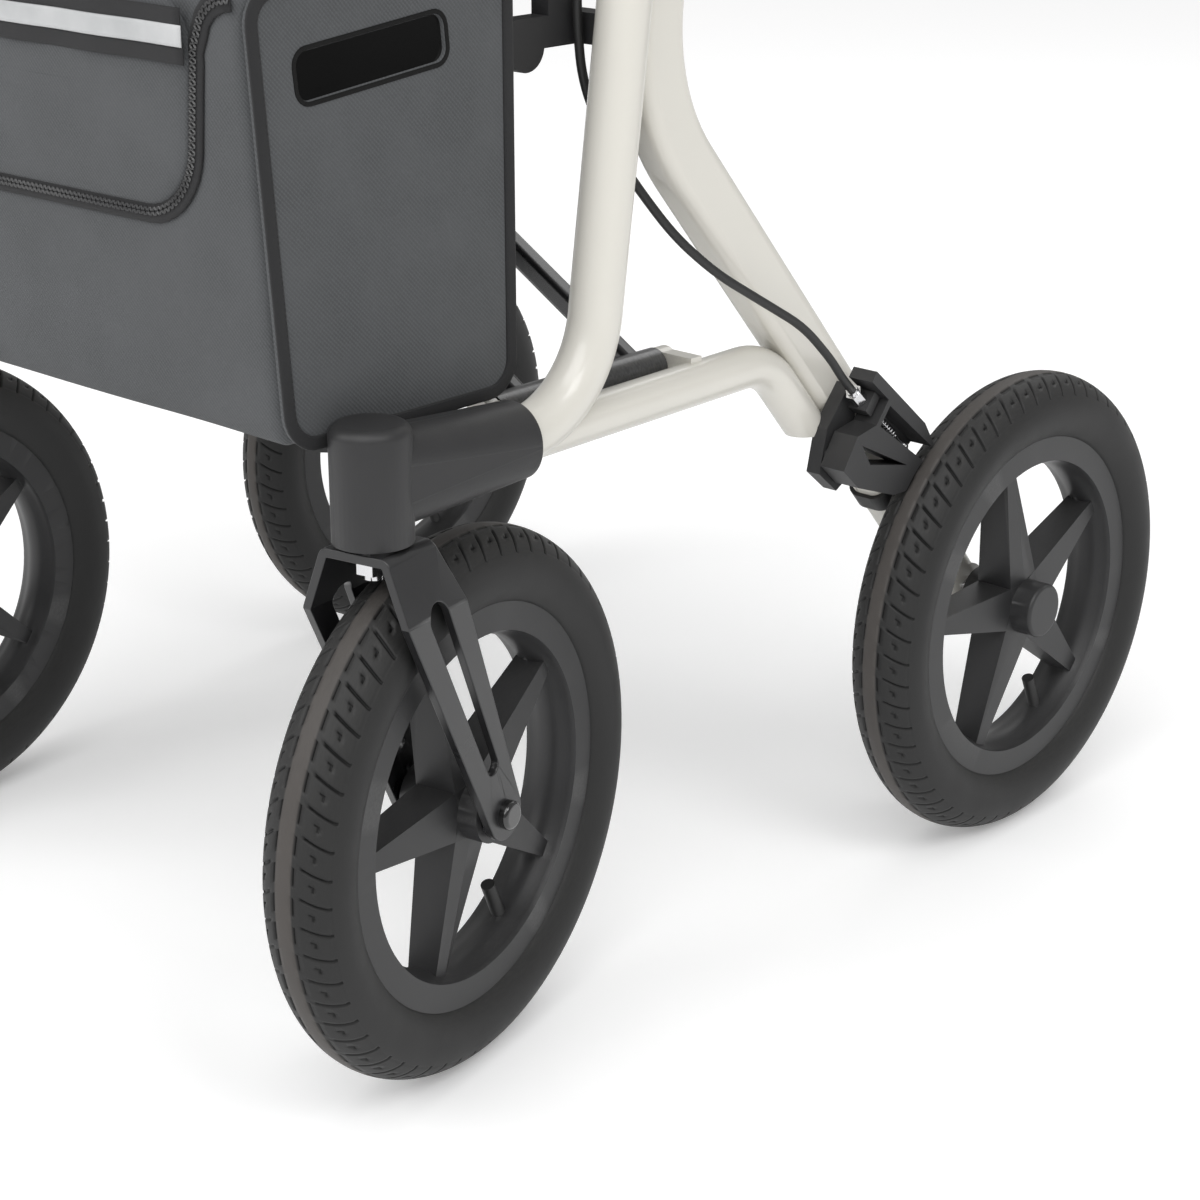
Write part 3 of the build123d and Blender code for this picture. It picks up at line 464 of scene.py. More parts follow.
GRIP_RUBBER = Finish("grip_rubber", (0.014, 0.014, 0.015), (0.020, 0.020, 0.020), 0.72, relief=0.00025,
                     scale=700.0, dust=0.08)
BAG_TWILL = Finish("bag_twill", (0.072, 0.075, 0.078), (0.090, 0.093, 0.097), 0.9, sheen=0.06, specular=0.2,
                   weave=Weave.TWILL, relief=0.0002, scale=400.0, mottle_scale=26.0)
# Near-black lining, which is also painted shade for the inside of the bag.
BAG_LINING_SHADE = Finish("bag_lining", (0.006, 0.006, 0.006), (0.010, 0.010, 0.010), 0.8, specular=0.2,
                    weave=Weave.TWILL, relief=0.0001, scale=900.0)
BINDING = Finish("bag_binding", (0.020, 0.020, 0.021), (0.028, 0.028, 0.029), 0.85, sheen=0.05, specular=0.3,
                 weave=Weave.TWILL, relief=0.00012, scale=1500.0)
SEAT_CLOTH = Finish("seat_cloth", (0.020, 0.020, 0.022), (0.030, 0.030, 0.032), 0.9, sheen=0.15, specular=0.3,
                    weave=Weave.TWILL, relief=0.0002, scale=600.0)
REFLECTIVE = Finish("reflective_tape", (0.44, 0.45, 0.455), (0.56, 0.565, 0.57), 0.4, relief=0.00003,
                    scale=1200.0, mottle_scale=30.0)
ZIP_COIL = Finish("zip_coil", (0.045, 0.045, 0.047), (0.10, 0.10, 0.10), 0.28, relief=0.00002)


@dataclass(frozen=True)
class TyreRubber:
    """Tyre rubber: dark smooth walls, a scuffed, paler running rib and painted shade in the deep grooves."""

    name: str = "tyre_rubber"
    wall: Colour = (0.017, 0.017, 0.017)
    tread: Colour = (0.017, 0.017, 0.017)
    rib: Colour = (0.062, 0.056, 0.052)
    rib_half: float = 4.9 * MM
    half_width: float = 23.6 * MM
    roughness: float = 0.55
    specular: float = 0.36
    relief: float = 0.00006

    def material(self, effects: Effects) -> bpy.types.Material:
        """Builds the tyre's material.

        Args:
            effects: The shared node groups.

        Returns:
            The finished material, which reads the wheel's own axle as X.
        """
        made = bpy.data.materials.new(self.name)
        made.use_nodes = True
        graph = Graph(made.node_tree)
        shader = made.node_tree.nodes["Principled BSDF"]
        shader.inputs["Specular IOR Level"].default_value = self.specular
        split = graph.add("SeparateXYZ", {"Vector": graph.place()})
        across = graph.math("ABSOLUTE", split.outputs["X"])
        band = self.band(graph, graph.spread(across, from_max=self.half_width))
        tone = graph.group(effects.get("mottle"), Scale=45.0).outputs["Value"]
        scuffed = graph.over(band, graph.spread(tone, to_min=0.8, to_max=1.25), 1.0, "MULTIPLY")
        film = graph.group(effects.get("dust"), Amount=0.08)
        dusty = graph.over(scuffed, TYRE_DUST_TONE, film.outputs["Mask"])
        # Deep grooves are painted near-black: painted shade in the recesses.
        groove_shade = graph.add("Attribute", attribute_name="cut")
        graph.feed(shader.inputs["Base Color"], graph.over(dusty, GROOVE_SHADE, groove_shade.outputs["Fac"]))
        gloss = graph.spread(tone, to_min=self.roughness - 0.08, to_max=self.roughness + 0.12)
        graph.feed(shader.inputs["Roughness"], gloss)
        grain = graph.group(effects.get("grain"), Scale=1300.0)
        graph.relief(grain.outputs["Height"], self.relief, shader)
        return made

    def band(self, graph: Graph, across: bpy.types.NodeSocket) -> bpy.types.NodeSocket:
        """Colours the rib, the tread and the wall.

        Args:
            graph: The material's graph.
            across: The share of the way from the middle to the widest point.

        Returns:
            The colour.
        """
        band = graph.add("ValToRGB", {"Fac": across})
        stops = band.color_ramp.elements
        stops[0].color = (*self.rib, 1.0)
        stops[1].color = (*self.wall, 1.0)
        edge = self.rib_half / self.half_width
        for position, colour in ((edge * 0.86, self.rib), (edge * 1.06, self.tread), (0.86, self.tread)):
            stops.new(position).color = (*colour, 1.0)
        return band.outputs["Color"]


@dataclass
class Wardrobe:
    """Every material, built once from its finish."""

    effects: Effects = field(default_factory=Effects)
    made: dict[str, bpy.types.Material] = field(default_factory=dict)

    def get(self, finish: Finish | TyreRubber) -> bpy.types.Material:
        """The finish's material.

        Args:
            finish: The finish.

        Returns:
            Its material, built the first time.
        """
        if finish.name not in self.made:
            self.made[finish.name] = finish.material(self.effects)
        return self.made[finish.name]

    def dress(self, piece: bpy.types.Object, finish: Finish | TyreRubber) -> None:
        """Gives a whole piece one finish.

        Args:
            piece: The piece.
            finish: Its finish.
        """
        piece.data.materials.clear()
        piece.data.materials.append(self.get(finish))


# ------------------------------------------------------------------ mesh helpers


def link_mesh(name: str, verts: list, faces: list, smooth: bool = True) -> bpy.types.Object:
    """Makes a mesh object from points and faces.

    Args:
        name: The piece's name.
        verts: Point positions.
        faces: Point numbers of each face.
        smooth: Whether faces shade smoothly.

    Returns:
        The linked object, with its normals pointing out.
    """
    mesh = bpy.data.meshes.new(name)
    mesh.from_pydata([tuple(v) for v in verts], [], faces)
    work = bmesh.new()
    work.from_mesh(mesh)
    bmesh.ops.recalc_face_normals(work, faces=work.faces)
    work.to_mesh(mesh)
    work.free()
    for face in mesh.polygons:
        face.use_smooth = smooth
    return linked(name, mesh)


def linked(name: str, data: bpy.types.ID) -> bpy.types.Object:
    """Makes an object from its data and puts it in the scene.

    Args:
        name: The object's name.
        data: Its mesh, curve, light or camera.

    Returns:
        The linked object.
    """
    piece = bpy.data.objects.new(name, data)
    bpy.context.scene.collection.objects.link(piece)
    return piece


def baked(piece: bpy.types.Object) -> bpy.types.Mesh:
    """Gives the mesh of an object with its modifiers applied.

    Args:
        piece: The object, which keeps its modifiers.

    Returns:
        A new mesh.
    """
    bpy.context.view_layer.update()
    return bpy.data.meshes.new_from_object(piece.evaluated_get(bpy.context.evaluated_depsgraph_get()))


def rounded_loop(half_w: float, half_h: float, radius: float, corner: int = 7, wide: int = 22,
                 tall: int = 10) -> list[Vector]:
    """Even points round a rounded rectangle, counter-clockwise in its own plane.

    Args:
        half_w: Half of the width.
        half_h: Half of the height.
        radius: Corner radius, limited by the sides.
        corner: Steps in each corner.
        wide: Steps along each wide side.
        tall: Steps along each tall side.

    Returns:
        The loop's points, the same number for any sizes.
    """
    radius = max(1e-5, min(radius, half_w * 0.98, half_h * 0.98))
    points = []
    arms = ((1, 1, 0, wide), (-1, 1, 90, tall), (-1, -1, 180, wide), (1, -1, 270, tall))
    for sx, sy, start, steps in arms:
        middle = Vector((sx * (half_w - radius), sy * (half_h - radius)))
        arc = [middle + radius * Vector((math.cos(math.radians(start + 90 * k / corner)),
                                         math.sin(math.radians(start + 90 * k / corner))))
               for k in range(corner + 1)]
        points += arc
        nsx, nsy = {0: (-1, 1), 90: (-1, -1), 180: (1, -1), 270: (1, 1)}[start]
        ahead = Vector((nsx * (half_w - radius), nsy * (half_h - radius)))
        turn = math.radians(start + 90)
        target = ahead + radius * Vector((math.cos(turn), math.sin(turn)))
        points += [arc[-1].lerp(target, k / steps) for k in range(1, steps)]
    return points


def bridge(rings: list[list], cap_start: bool = False, cap_end: bool = False,
           loop_back: bool = False) -> tuple[list, list]:
    """Faces between rings of equal length.

    Args:
        rings: Rings of points.
        cap_start: Whether the first ring is filled.
        cap_end: Whether the last ring is filled.
        loop_back: Whether the last ring joins the first.

    Returns:
        All points, and the faces.
    """
    count = len(rings[0])
    verts = [p for ring in rings for p in ring]
    faces = []
    pairs = list(range(len(rings) - 1)) + ([len(rings) - 1] if loop_back else [])
    for row in pairs:
        below = (row + 1) % len(rings)
        for k in range(count):
            nxt = (k + 1) % count
            faces.append((row * count + k, row * count + nxt, below * count + nxt, below * count + k))
    if cap_start:
        faces.append(tuple(range(count)))
    if cap_end:
        faces.append(tuple(reversed(range((len(rings) - 1) * count, len(rings) * count))))
    return verts, faces


def ridge(base: int) -> list[tuple[int, ...]]:
    """Faces of a small roof-like ridge: four foot points and two on top.

    Args:
        base: The number of its first point.

    Returns:
        The faces.
    """
    plan = ((0, 1, 4), (1, 2, 5, 4), (2, 3, 5), (3, 0, 4, 5), (0, 3, 2, 1))
    return [tuple(base + corner for corner in face) for face in plan]


def swept_band(name: str, path: list[Vector], outward: list[Vector], half_width: float, thick: float,
               closed: bool) -> bpy.types.Object:
    """A flat band with rounded edges that lies along a path on a surface.

    Args:
        name: The piece's name.
        path: The band's middle line.
        outward: The surface's outward direction at each path point.
        half_width: Half of the band's width.
        thick: How far the band stands proud.
        closed: Whether the path closes.

    Returns:
        The band.
    """
    section = [(-1.0, 0.0), (-0.92, 0.72), (-0.6, 1.0), (0.0, 1.06), (0.6, 1.0), (0.92, 0.72), (1.0, 0.0),
               (0.0, -0.12)]
    rings = []
    count = len(path)
    for k, point in enumerate(path):
        after = path[(k + 1) % count] if closed or k < count - 1 else path[k]
        before = path[k - 1] if closed or k > 0 else path[k]
        along = (after - before).normalized()
        across = along.cross(outward[k]).normalized()
        up = outward[k].normalized()
        rings.append([point + across * (a * half_width) + up * (b * thick) for a, b in section])
    verts, faces = bridge(rings, cap_start=not closed, cap_end=not closed, loop_back=closed)
    return link_mesh(name, verts, faces)


def joined(name: str, pieces: list[bpy.types.Object]) -> bpy.types.Object:
    """Joins several mesh objects into one.

    Args:
        name: The joined piece's name.
        pieces: The objects, which must have one material each or none.

    Returns:
        The joined piece.
    """
    target = pieces[0]
    with bpy.context.temp_override(active_object=target, selected_editable_objects=pieces,
                                   selected_objects=pieces):
        bpy.ops.object.join()
    target.name = name
    target.data.name = name
    return target


def tube_mesh(name: str, path: list[Vector], radius: float, sides: int = 8) -> bpy.types.Object:
    """A round wire along a path, with closed ends.

    Args:
        name: The piece's name.
        path: The wire's middle line.
        radius: Its radius.
        sides: Points round it.

    Returns:
        The wire.
    """
    rings = []
    up = Vector((0.13, 0.31, 0.94)).normalized()
    for k, point in enumerate(path):
        along = (path[min(k + 1, len(path) - 1)] - path[max(k - 1, 0)]).normalized()
        across = along.cross(up).normalized()
        over = across.cross(along).normalized()
        up = over
        rings.append([point + radius * (math.cos(t) * across + math.sin(t) * over)
                      for t in (2 * math.pi * j / sides for j in range(sides))])
    verts, faces = bridge(rings, cap_start=True, cap_end=True)
    return link_mesh(name, verts, faces)


# ------------------------------------------------------------------ tyres


@dataclass(frozen=True)
class Cut:
    """One cut of the tread, made at each pitch.

    Its lanes are in mm from the tyre's middle, and its steps are shares of a pitch.
    """

    lanes: tuple[float, float]
    steps: tuple[float, float]
    depth: float
    run_out: float = 0.0
    shallow: float = 0.55

    def holds(self, lane: float, step: float) -> bool:
        """Tells whether a point lies in the cut.

        Args:
            lane: Distance from the middle in mm.
            step: Share of the pitch.

        Returns:
            Whether it does.
        """
        return self.lanes[0] <= lane <= self.lanes[1] and self.steps[0] <= step <= self.steps[1]

    def at(self, lane: float) -> float:
        """Gives the depth, which may run out towards the wall.

        Args:
            lane: Distance from the middle in mm.

        Returns:
            The depth.
        """
        if not self.run_out:
            return self.depth
        fade = max(0.0, min(1.0, (self.lanes[1] + 0.2 - lane) / self.run_out))
        return self.depth * (self.shallow + (1 - self.shallow) * fade)


@dataclass
class Tyre:
    """An air tyre with a smooth wall, a scuffed rib between dashed grooves and shoulder slots."""

    radius: float = 150 * MM
    half_width: float = 23.6 * MM
    half_height: float = 22.6 * MM
    seat_radius: float = 111 * MM
    pitches: int = 60
    slant: float = 0.62
    lean_end: float = 20.0
    wall_lane: float = 30.0
    wall_steps: int = 8
    bead: float = 2.2 * MM
    dark_from: float = 0.8 * MM
    cuts: tuple[Cut, ...] = (
        Cut((4.9, 6.2), (0.18, 0.81), 1.8 * MM),
        Cut((8.8, 20.6), (0.015, 0.125), 2.2 * MM, run_out=2.0),
        Cut((14.0, 15.2), (0.41, 0.63), 1.0 * MM),
        Cut((12.7, 15.2), (0.41, 0.48), 1.0 * MM),
        Cut((20.2, 20.6), (0.0, 1.0), 0.35 * MM),
    )
    steps: tuple[float, ...] = (0.0, 0.02, 0.12, 0.14, 0.17, 0.19, 0.40, 0.42, 0.47, 0.49, 0.62, 0.64, 0.80,
                                0.82, 0.91)
    lanes: tuple[float, ...] = (0.0, 2.5, 4.8, 5.0, 6.1, 6.3, 8.6, 9.0, 10.8, 12.6, 12.8, 13.9, 14.1, 15.1, 15.3,
                                17.0, 18.8, 19.6, 19.9, 20.3, 20.5, 21.0, 21.2, 22.0, 22.8, 23.3, 23.55)

    def depth(self, lane: float, step: float) -> float:
        """Gives how deep the tread is cut at a point.

        Args:
            lane: Distance from the middle in mm.
            step: Share of the pitch.

        Returns:
            The depth, or 0 where nothing is cut.
        """
        return next((cut.at(lane) for cut in self.cuts if cut.holds(lane, step)), 0.0)

    def mesh(self) -> bpy.types.Mesh:
        """Builds the tyre about the X axis, centred on its own middle.

        Returns:
            The mesh, with its deeper grooves marked in the attribute cut, where shade is painted.
        """
        middle = self.radius - self.half_height
        right: list[tuple[float, float, float]] = []
        for lane in self.lanes:
            x = lane * MM
            r = middle + self.half_height * math.sqrt(max(0.0, 1 - (x / self.half_width) ** 2))
            right.append((x, r, lane))
        lowest = math.asin((self.seat_radius - middle) / self.half_height)
        for k in range(self.wall_steps + 1):
            angle = lowest * k / self.wall_steps
            r = middle + self.half_height * math.sin(angle)
            right.append((self.half_width * math.cos(angle), r, self.wall_lane))
        right.append((right[-1][0] - self.bead, self.seat_radius, self.wall_lane))
        profile = [(-x, r, lane) for x, r, lane in reversed(right)] + right[1:]
        rings = []
        for pitch in range(self.pitches):
            for step in self.steps:
                ring = []
                for x, r, lane in profile:
                    lean = self.slant * min(lane, self.lean_end) * MM / self.radius
                    angle = 2 * math.pi * (pitch + step) / self.pitches + lean
                    cut = r - self.depth(lane, step)
                    ring.append((x, cut * math.cos(angle), cut * math.sin(angle)))
                rings.append(ring)
        verts, faces = bridge(rings, loop_back=True)
        piece = link_mesh("tyre_form", verts, faces)
        mesh = piece.data
        # The attribute cut marks the grooves deep enough to take painted shade.
        cut = mesh.attributes.new("cut", "FLOAT", "POINT")
        shaded_grooves = [1.0 if self.depth(lane, step) > self.dark_from else 0.0
                for _ in range(self.pitches) for step in self.steps for _, _, lane in profile]
        cut.data.foreach_set("value", shaded_grooves)
        bpy.data.objects.remove(piece)
        return mesh

    def fit(self, wardrobe: Wardrobe, joints: dict[str, dict]) -> None:
        """Puts a tyre on each of the four wheels.

        Args:
            wardrobe: The materials.
            joints: The frame's joints by name.
        """
        mesh = self.mesh()
        mesh.materials.append(wardrobe.get(TyreRubber()))
        for end in ("front", "rear"):
            for side in Side:
                joint = joints[f"{end}_spin_{side.word}"]
                axle = Vector(joint["axis"]).normalized()
                back = Vector((0, 0, 1)).cross(axle).normalized()
                turn = Matrix((axle, back, Vector((0, 0, 1)))).transposed().to_4x4()
                tyre = linked(f"{end}_tyre_skin_{side.word}", mesh)
                tyre.matrix_world = Matrix.Translation(Vector(joint["pos_m"])) @ turn
                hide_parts(f"{end}_tyre_{side.word}")
                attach(tyre, f"{end}_wheel_{side.word}")
        LOG.info("four tyres, %d points each", len(mesh.vertices))


# ------------------------------------------------------------------ brake spring


@dataclass
class BrakeSprings:
    """The bare brake wire with its return coil and ball end, one on each side."""

    slope: float = math.radians(39.7)
    lead: float = 6 * MM
    coil_length: float = 27 * MM
    coil_radius: float = 2.3 * MM
    wire: float = 0.55 * MM
    turns: int = 9
    turn_steps: int = 14
    start_gap: float = 1.2 * MM
    end_gap: float = 4 * MM
    core: float = 0.75 * MM
    ball_length: float = 3 * MM
    ball_radius: float = 2.3 * MM
    ball_tip: float = 0.05 * MM
    ball_steps: int = 8
    ball_sides: int = 12

    def fit(self, wardrobe: Wardrobe) -> None:
        """Replaces both plain springs with wound ones.

        Args:
            wardrobe: The materials.
        """
        for side in Side:
            node = f"brake_spring_{side.word}"
            low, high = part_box(node)
            middle_x = (low.x + high.x) / 2
            along = Vector((0, math.cos(self.slope), -math.sin(self.slope)))
            above = Vector((0, math.sin(self.slope), math.cos(self.slope)))
            start = Vector((middle_x, low.y, high.z)) + above * -self.coil_radius * 0.2
            start += along * self.start_gap
            length = (Vector((0, high.y, low.z)) - Vector((0, low.y, high.z))).length - self.end_gap
            line = [start, start + along * length]
            parts = [tube_mesh("wire", line, self.core)]
            helix = []
            for k in range(self.turns * self.turn_steps + 1):
                share = k / (self.turns * self.turn_steps)
                turn = 2 * math.pi * self.turns * share
                radial = math.cos(turn) * Vector((1, 0, 0)) + math.sin(turn) * above
                reach = self.lead + self.coil_length * share
                helix.append(start + along * reach + radial * self.coil_radius)
            parts.append(tube_mesh("coil", helix, self.wire, 6))
            ball = []
            for k in range(self.ball_steps + 1):
                turn = math.pi * k / self.ball_steps
                ball.append((line[1] - along * self.end_gap - along * math.cos(turn) * self.ball_length,
                             max(self.ball_tip, math.sin(turn) * self.ball_radius)))
            rings = [[c + r * (math.cos(t) * Vector((1, 0, 0)) + math.sin(t) * above)
                      for t in (2 * math.pi * j / self.ball_sides for j in range(self.ball_sides))]
                     for c, r in ball]
            verts, faces = bridge(rings, cap_start=True, cap_end=True)
            parts.append(link_mesh("ball", verts, faces))
            spring = joined(f"return_coil_{side.word}", parts)
            wardrobe.dress(spring, STEEL)
            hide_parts(node)
            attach(spring, f"side_{side.word}")
        LOG.info("two return coils")


# ------------------------------------------------------------------ bag


@dataclass
class Bag:
    """The open fabric bag: sagging shell, bound side panels with slots, zipped pocket and stripe."""

    wall: float = 3.2 * MM
    bottom_round: float = 17 * MM
    corner: float = 10 * MM
    panel_round: float = 20 * MM
    binding_half: float = 3.6 * MM
    pocket_half: float = 186 * MM
    pocket_flare: float = 9 * MM
    pocket_bottom: float = 474 * MM
    pocket_top: float = 576 * MM
    pocket_round: float = 30 * MM
    stripe_height: float = 558 * MM
    low: Vector = field(default_factory=Vector)
    high: Vector = field(default_factory=Vector)
    front_foot: float = -323 * MM
    slot_place: tuple[float, float] = (-260 * MM, 543.5 * MM)
    slot_half: tuple[float, float] = (48 * MM, 12 * MM)
    slot_round: float = 7 * MM
    slot_tilt: float = math.radians(6)
    levels: int = 16
    sag: float = 4 * MM
    edge_in: float = 2.6 * MM
    zip_end: tuple[tuple[float, float], ...] = ((221, 577), (213, 575.5), (206, 572), (200.5, 566.5),
                                                (197.5, 560))
    zip_top: float = 556 * MM

    def front_y(self, z: float) -> float:
        """The front face's Y at a height: it leans forward to the top.

        Args:
            z: The height.

        Returns:
            The Y.
        """
        share = (z - self.low.z) / (self.high.z - self.low.z)
        return self.front_foot + (self.low.y - self.front_foot) * share

    def ring(self, inset: float, z: float, sag: float) -> list[Vector]:
        """One level of the shell.

        Args:
            inset: Distance in from the outer form.
            z: Height.
            sag: How far the long walls belly out.

        Returns:
            The level's points.
        """
        front = self.front_y(z) + inset
        back = self.high.y - inset - 1 * MM
        half_w = self.high.x - inset - self.edge_in
        middle = (front + back) / 2
        half_d = (back - front) / 2
        points = []
        for p in rounded_loop(half_w, half_d, max(2 * MM, self.corner - inset), 6, 40, 16):
            share = math.cos(min(1.0, abs(p.x) / half_w) * math.pi / 2)
            crease = noise.noise(Vector((p.x * 11, p.y * 9 + 3, z * 13))) * 1.5 * MM
            out = -1 if p.y < 0 else 0.25
            belly = (sag * share + crease * min(1.0, share * 3)) * (1 if p.y < 0 else 0.4)
            points.append(Vector((p.x, middle + p.y + out * belly, z)))
        return points

    def shell(self) -> bpy.types.Object:
        """The bag's body: outer walls, hem, inner walls and floor.

        Returns:
            The body, with both hand slots cut.
        """
        rings = []
        z0, z1 = self.low.z, self.high.z - 1 * MM
        for inset in (70 * MM, 45 * MM, 28 * MM):
            rings.append(self.ring(inset, z0 + 0.3 * MM, 0))
        for k in range(6):
            turn = math.pi / 2 * k / 5
            rings.append(self.ring(self.bottom_round * (1 - math.sin(turn)),
                                   z0 + self.bottom_round * (1 - math.cos(turn)), 0))
        levels = self.levels
        for k in range(1, levels + 1):
            z = z0 + self.bottom_round + (z1 - z0 - self.bottom_round) * k / levels
            rings.append(self.ring(0, z, self.sag * math.sin(math.pi * k / levels)))
        rings.append(self.ring(self.wall * 0.5, z1 + 0.8 * MM, 0))
        for k in range(levels, -1, -1):
            z = z0 + self.bottom_round + (z1 - z0 - self.bottom_round) * k / levels
            rings.append(self.ring(self.wall, z, self.sag * math.sin(math.pi * k / levels)))
        for inset in (12 * MM, 45 * MM, 70 * MM):
            rings.append(self.ring(inset + self.wall, z0 + self.wall + 1 * MM, 0))
        verts, faces = bridge(rings, cap_start=True, cap_end=True)
        shell = link_mesh("bag_shell", verts, faces)
        self.cut_slots(shell)
        return shell

    def cut_slots(self, shell: bpy.types.Object) -> None:
        """Cuts the hand slots through the shell's side walls.

        Args:
            shell: The bag's body.
        """
        loop = self.slot_loop(0.6 * MM)
        rings = [[Vector((x, p.x, p.y)) for p in loop] for x in (-0.4, 0.4)]
        verts, faces = bridge(rings, cap_start=True, cap_end=True)
        cutter = link_mesh("slot_cutter", verts, faces, smooth=False)
        cut = shell.modifiers.new("slots", "BOOLEAN")
        cut.operation = "DIFFERENCE"
        cut.solver = "EXACT"
        cut.object = cutter
        mesh = baked(shell)
        shell.modifiers.clear()
        shell.data = mesh
        bpy.data.objects.remove(cutter)

    def line(self, shell: bpy.types.Object, lining_shade: bpy.types.Material) -> None:
        """Gives the shell's inner faces the near-black lining, which also paints the shade inside the bag.

        Args:
            shell: The bag's body.
            lining_shade: The lining's material, which paints the shade inside as well.
        """
        # The inner walls and the floor take the near-black lining: a dark lining that is also painted shade
        # inside the bag.
        shell.data.materials.append(lining_shade)
        middle = Vector((0, (self.low.y + self.high.y) / 2, 0))
        for face in shell.data.polygons:
            inward = Vector((face.center.x, face.center.y - middle.y, 0)).dot(face.normal) < 0
            floor = face.normal.z > 0.5 and face.center.z < self.low.z + 20 * MM
            if inward or floor:
                face.material_index = len(shell.data.materials) - 1

    def slot_loop(self, grow: float) -> list[Vector]:
        """The hand slot's outline in (y, z), grown by a margin.

        Args:
            grow: The margin.

        Returns:
            The outline's points.
        """
        turn = Matrix.Rotation(self.slot_tilt, 2)
        half_w, half_h = self.slot_half
        return [turn @ p + Vector(self.slot_place)
                for p in rounded_loop(half_w + grow, half_h + grow, self.slot_round + grow, 6, 10, 3)]

    def panel_loop(self, inset: float) -> list[Vector]:
        """The side panel's outline in (y, z).

        Args:
            inset: Distance in from the panel's edge.

        Returns:
            The outline's points.
        """
        half_h = (self.high.z - self.low.z) / 2 - inset
        middle_z = (self.high.z + self.low.z) / 2
        half_d = (self.high.y - self.front_foot) / 2 - inset
        middle_y = (self.high.y + self.front_foot) / 2
        loop = rounded_loop(half_d, half_h, self.panel_round - inset, 8, 18, 22)
        shaped = []
        for p in loop:
            lean = (self.low.y - self.front_foot) * (p.y + half_h) / (2 * half_h) * (0.5 - 0.5 * p.x / half_d)
            shaped.append(Vector((middle_y + p.x + lean, middle_z + p.y)))
        return shaped

    def side_panel(self, side: Side) -> bpy.types.Object:
        """One flat side panel with its hand slot cut through.

        Args:
            side: The walker's side.

        Returns:
            The panel.
        """
        curve = bpy.data.curves.new("panel_form", "CURVE")
        curve.dimensions = "2D"
        curve.fill_mode = "BOTH"
        curve.extrude = 0.9 * MM
        curve.bevel_depth = 0.5 * MM
        curve.bevel_resolution = 2
        for loop in (self.panel_loop(1 * MM), self.slot_loop(0.0)):
            spline = curve.splines.new("POLY")
            spline.points.add(len(loop) - 1)
            for point, p in zip(spline.points, loop):
                point.co = (p.x, p.y, 0, 1)
            spline.use_cyclic_u = True
        carrier = linked("panel_form", curve)
        mesh = baked(carrier)
        bpy.data.objects.remove(carrier)
        mesh.transform(Matrix(((0, 0, side.value, side.value * (self.high.x - 1.6 * MM)), (1, 0, 0, 0),
                               (0, 1, 0, 0), (0, 0, 0, 1))))
        return linked(f"bag_panel_{side.word}", mesh)

    def on_side(self, loop: list[Vector], side: Side, lift: float = 0.0) -> list[Vector]:
        """Puts a (y, z) loop on a side panel's face.

        Args:
            loop: The loop.
            side: The walker's side.
            lift: How far it stands off the face.

        Returns:
            The loop's points in space.
        """
        return [Vector((side.value * (self.high.x - 0.3 * MM + lift), p.x, p.y)) for p in loop]

    def stitches(self, name: str, path: list[Vector], outward: Vector,
                 pitch: float = 3.2 * MM) -> bpy.types.Object:
        """A row of short raised stitches along a path.

        Args:
            name: The piece's name.
            path: The closed line.
            outward: The direction the stitches stand up in.
            pitch: The distance from one stitch to the next.

        Returns:
            The row.
        """
        verts: list[Vector] = []
        faces: list[tuple[int, ...]] = []
        walked = 0.0
        due = 0.0
        for a, b in zip(path, path[1:] + path[:1]):
            run = (b - a).length
            if run < 1e-6:
                continue
            along = (b - a) / run
            across = along.cross(outward).normalized() * 0.35 * MM
            while due < walked + run:
                start = a + along * (due - walked)
                finish = start + along * pitch * 0.68
                rise = outward * 0.45 * MM
                base = len(verts)
                verts += [start - across, start + across, finish + across, finish - across,
                          start.lerp(finish, 0.2) + rise, start.lerp(finish, 0.8) + rise]
                faces += ridge(base)
                due += pitch
            walked += run
        return link_mesh(name, verts, faces, smooth=False)

    def pocket_loop(self, inset: float) -> list[Vector]:
        """The pocket's outline in (x, z).

        Args:
            inset: Distance in from the pocket's edge.

        Returns:
            The outline's points.
        """
        half_h = (self.pocket_top - self.pocket_bottom) / 2
        middle = (self.pocket_top + self.pocket_bottom) / 2
        loop = rounded_loop(self.pocket_half - inset, half_h - inset, self.pocket_round - inset, 9, 40, 12)
        return [Vector((p.x * (1 + self.pocket_flare / self.pocket_half * p.y / half_h), p.y + middle))
                for p in loop]

    def on_front(self, p: Vector, proud: float) -> Vector:
        """A point of the front face at (x, z), standing proud of the shell.

        Args:
            p: The point's X and Z.
            proud: How far it stands out.

        Returns:
            The point in space.
        """
        half_w = self.high.x - self.edge_in
        share = math.cos(min(1.0, abs(p.x) / half_w) * math.pi / 2)
        height = (p.y - self.low.z - self.bottom_round) / (self.high.z - self.low.z - self.bottom_round)
        belly = self.sag * math.sin(math.pi * max(0.0, min(1.0, height))) * share
        crease = noise.noise(Vector((p.x * 11, 3 - 0.8, p.y * 13))) * 0.8 * MM
        return Vector((p.x, self.front_y(p.y) - belly - crease - proud, p.y))

    def pocket(self) -> bpy.types.Object:
        """The raised, softly filled pocket panel.

        Returns:
            The panel.
        """
        levels = ((0.0, -1.5), (0.0, 1.0), (2.0, 2.6), (8.0, 3.6), (18.0, 4.2), (32.0, 4.4), (46.0, 4.3))
        rings = []
        for inset, proud in levels:
            ring = []
            for p in self.pocket_loop(inset * MM):
                fold = noise.noise(Vector((p.x * 16, 7, p.y * 22))) * min(1.4, inset * 0.1) * MM
                ring.append(self.on_front(p, proud * MM + fold))
            rings.append(ring)
        verts, faces = bridge(rings, cap_end=True)
        return link_mesh("bag_pocket", verts, faces)

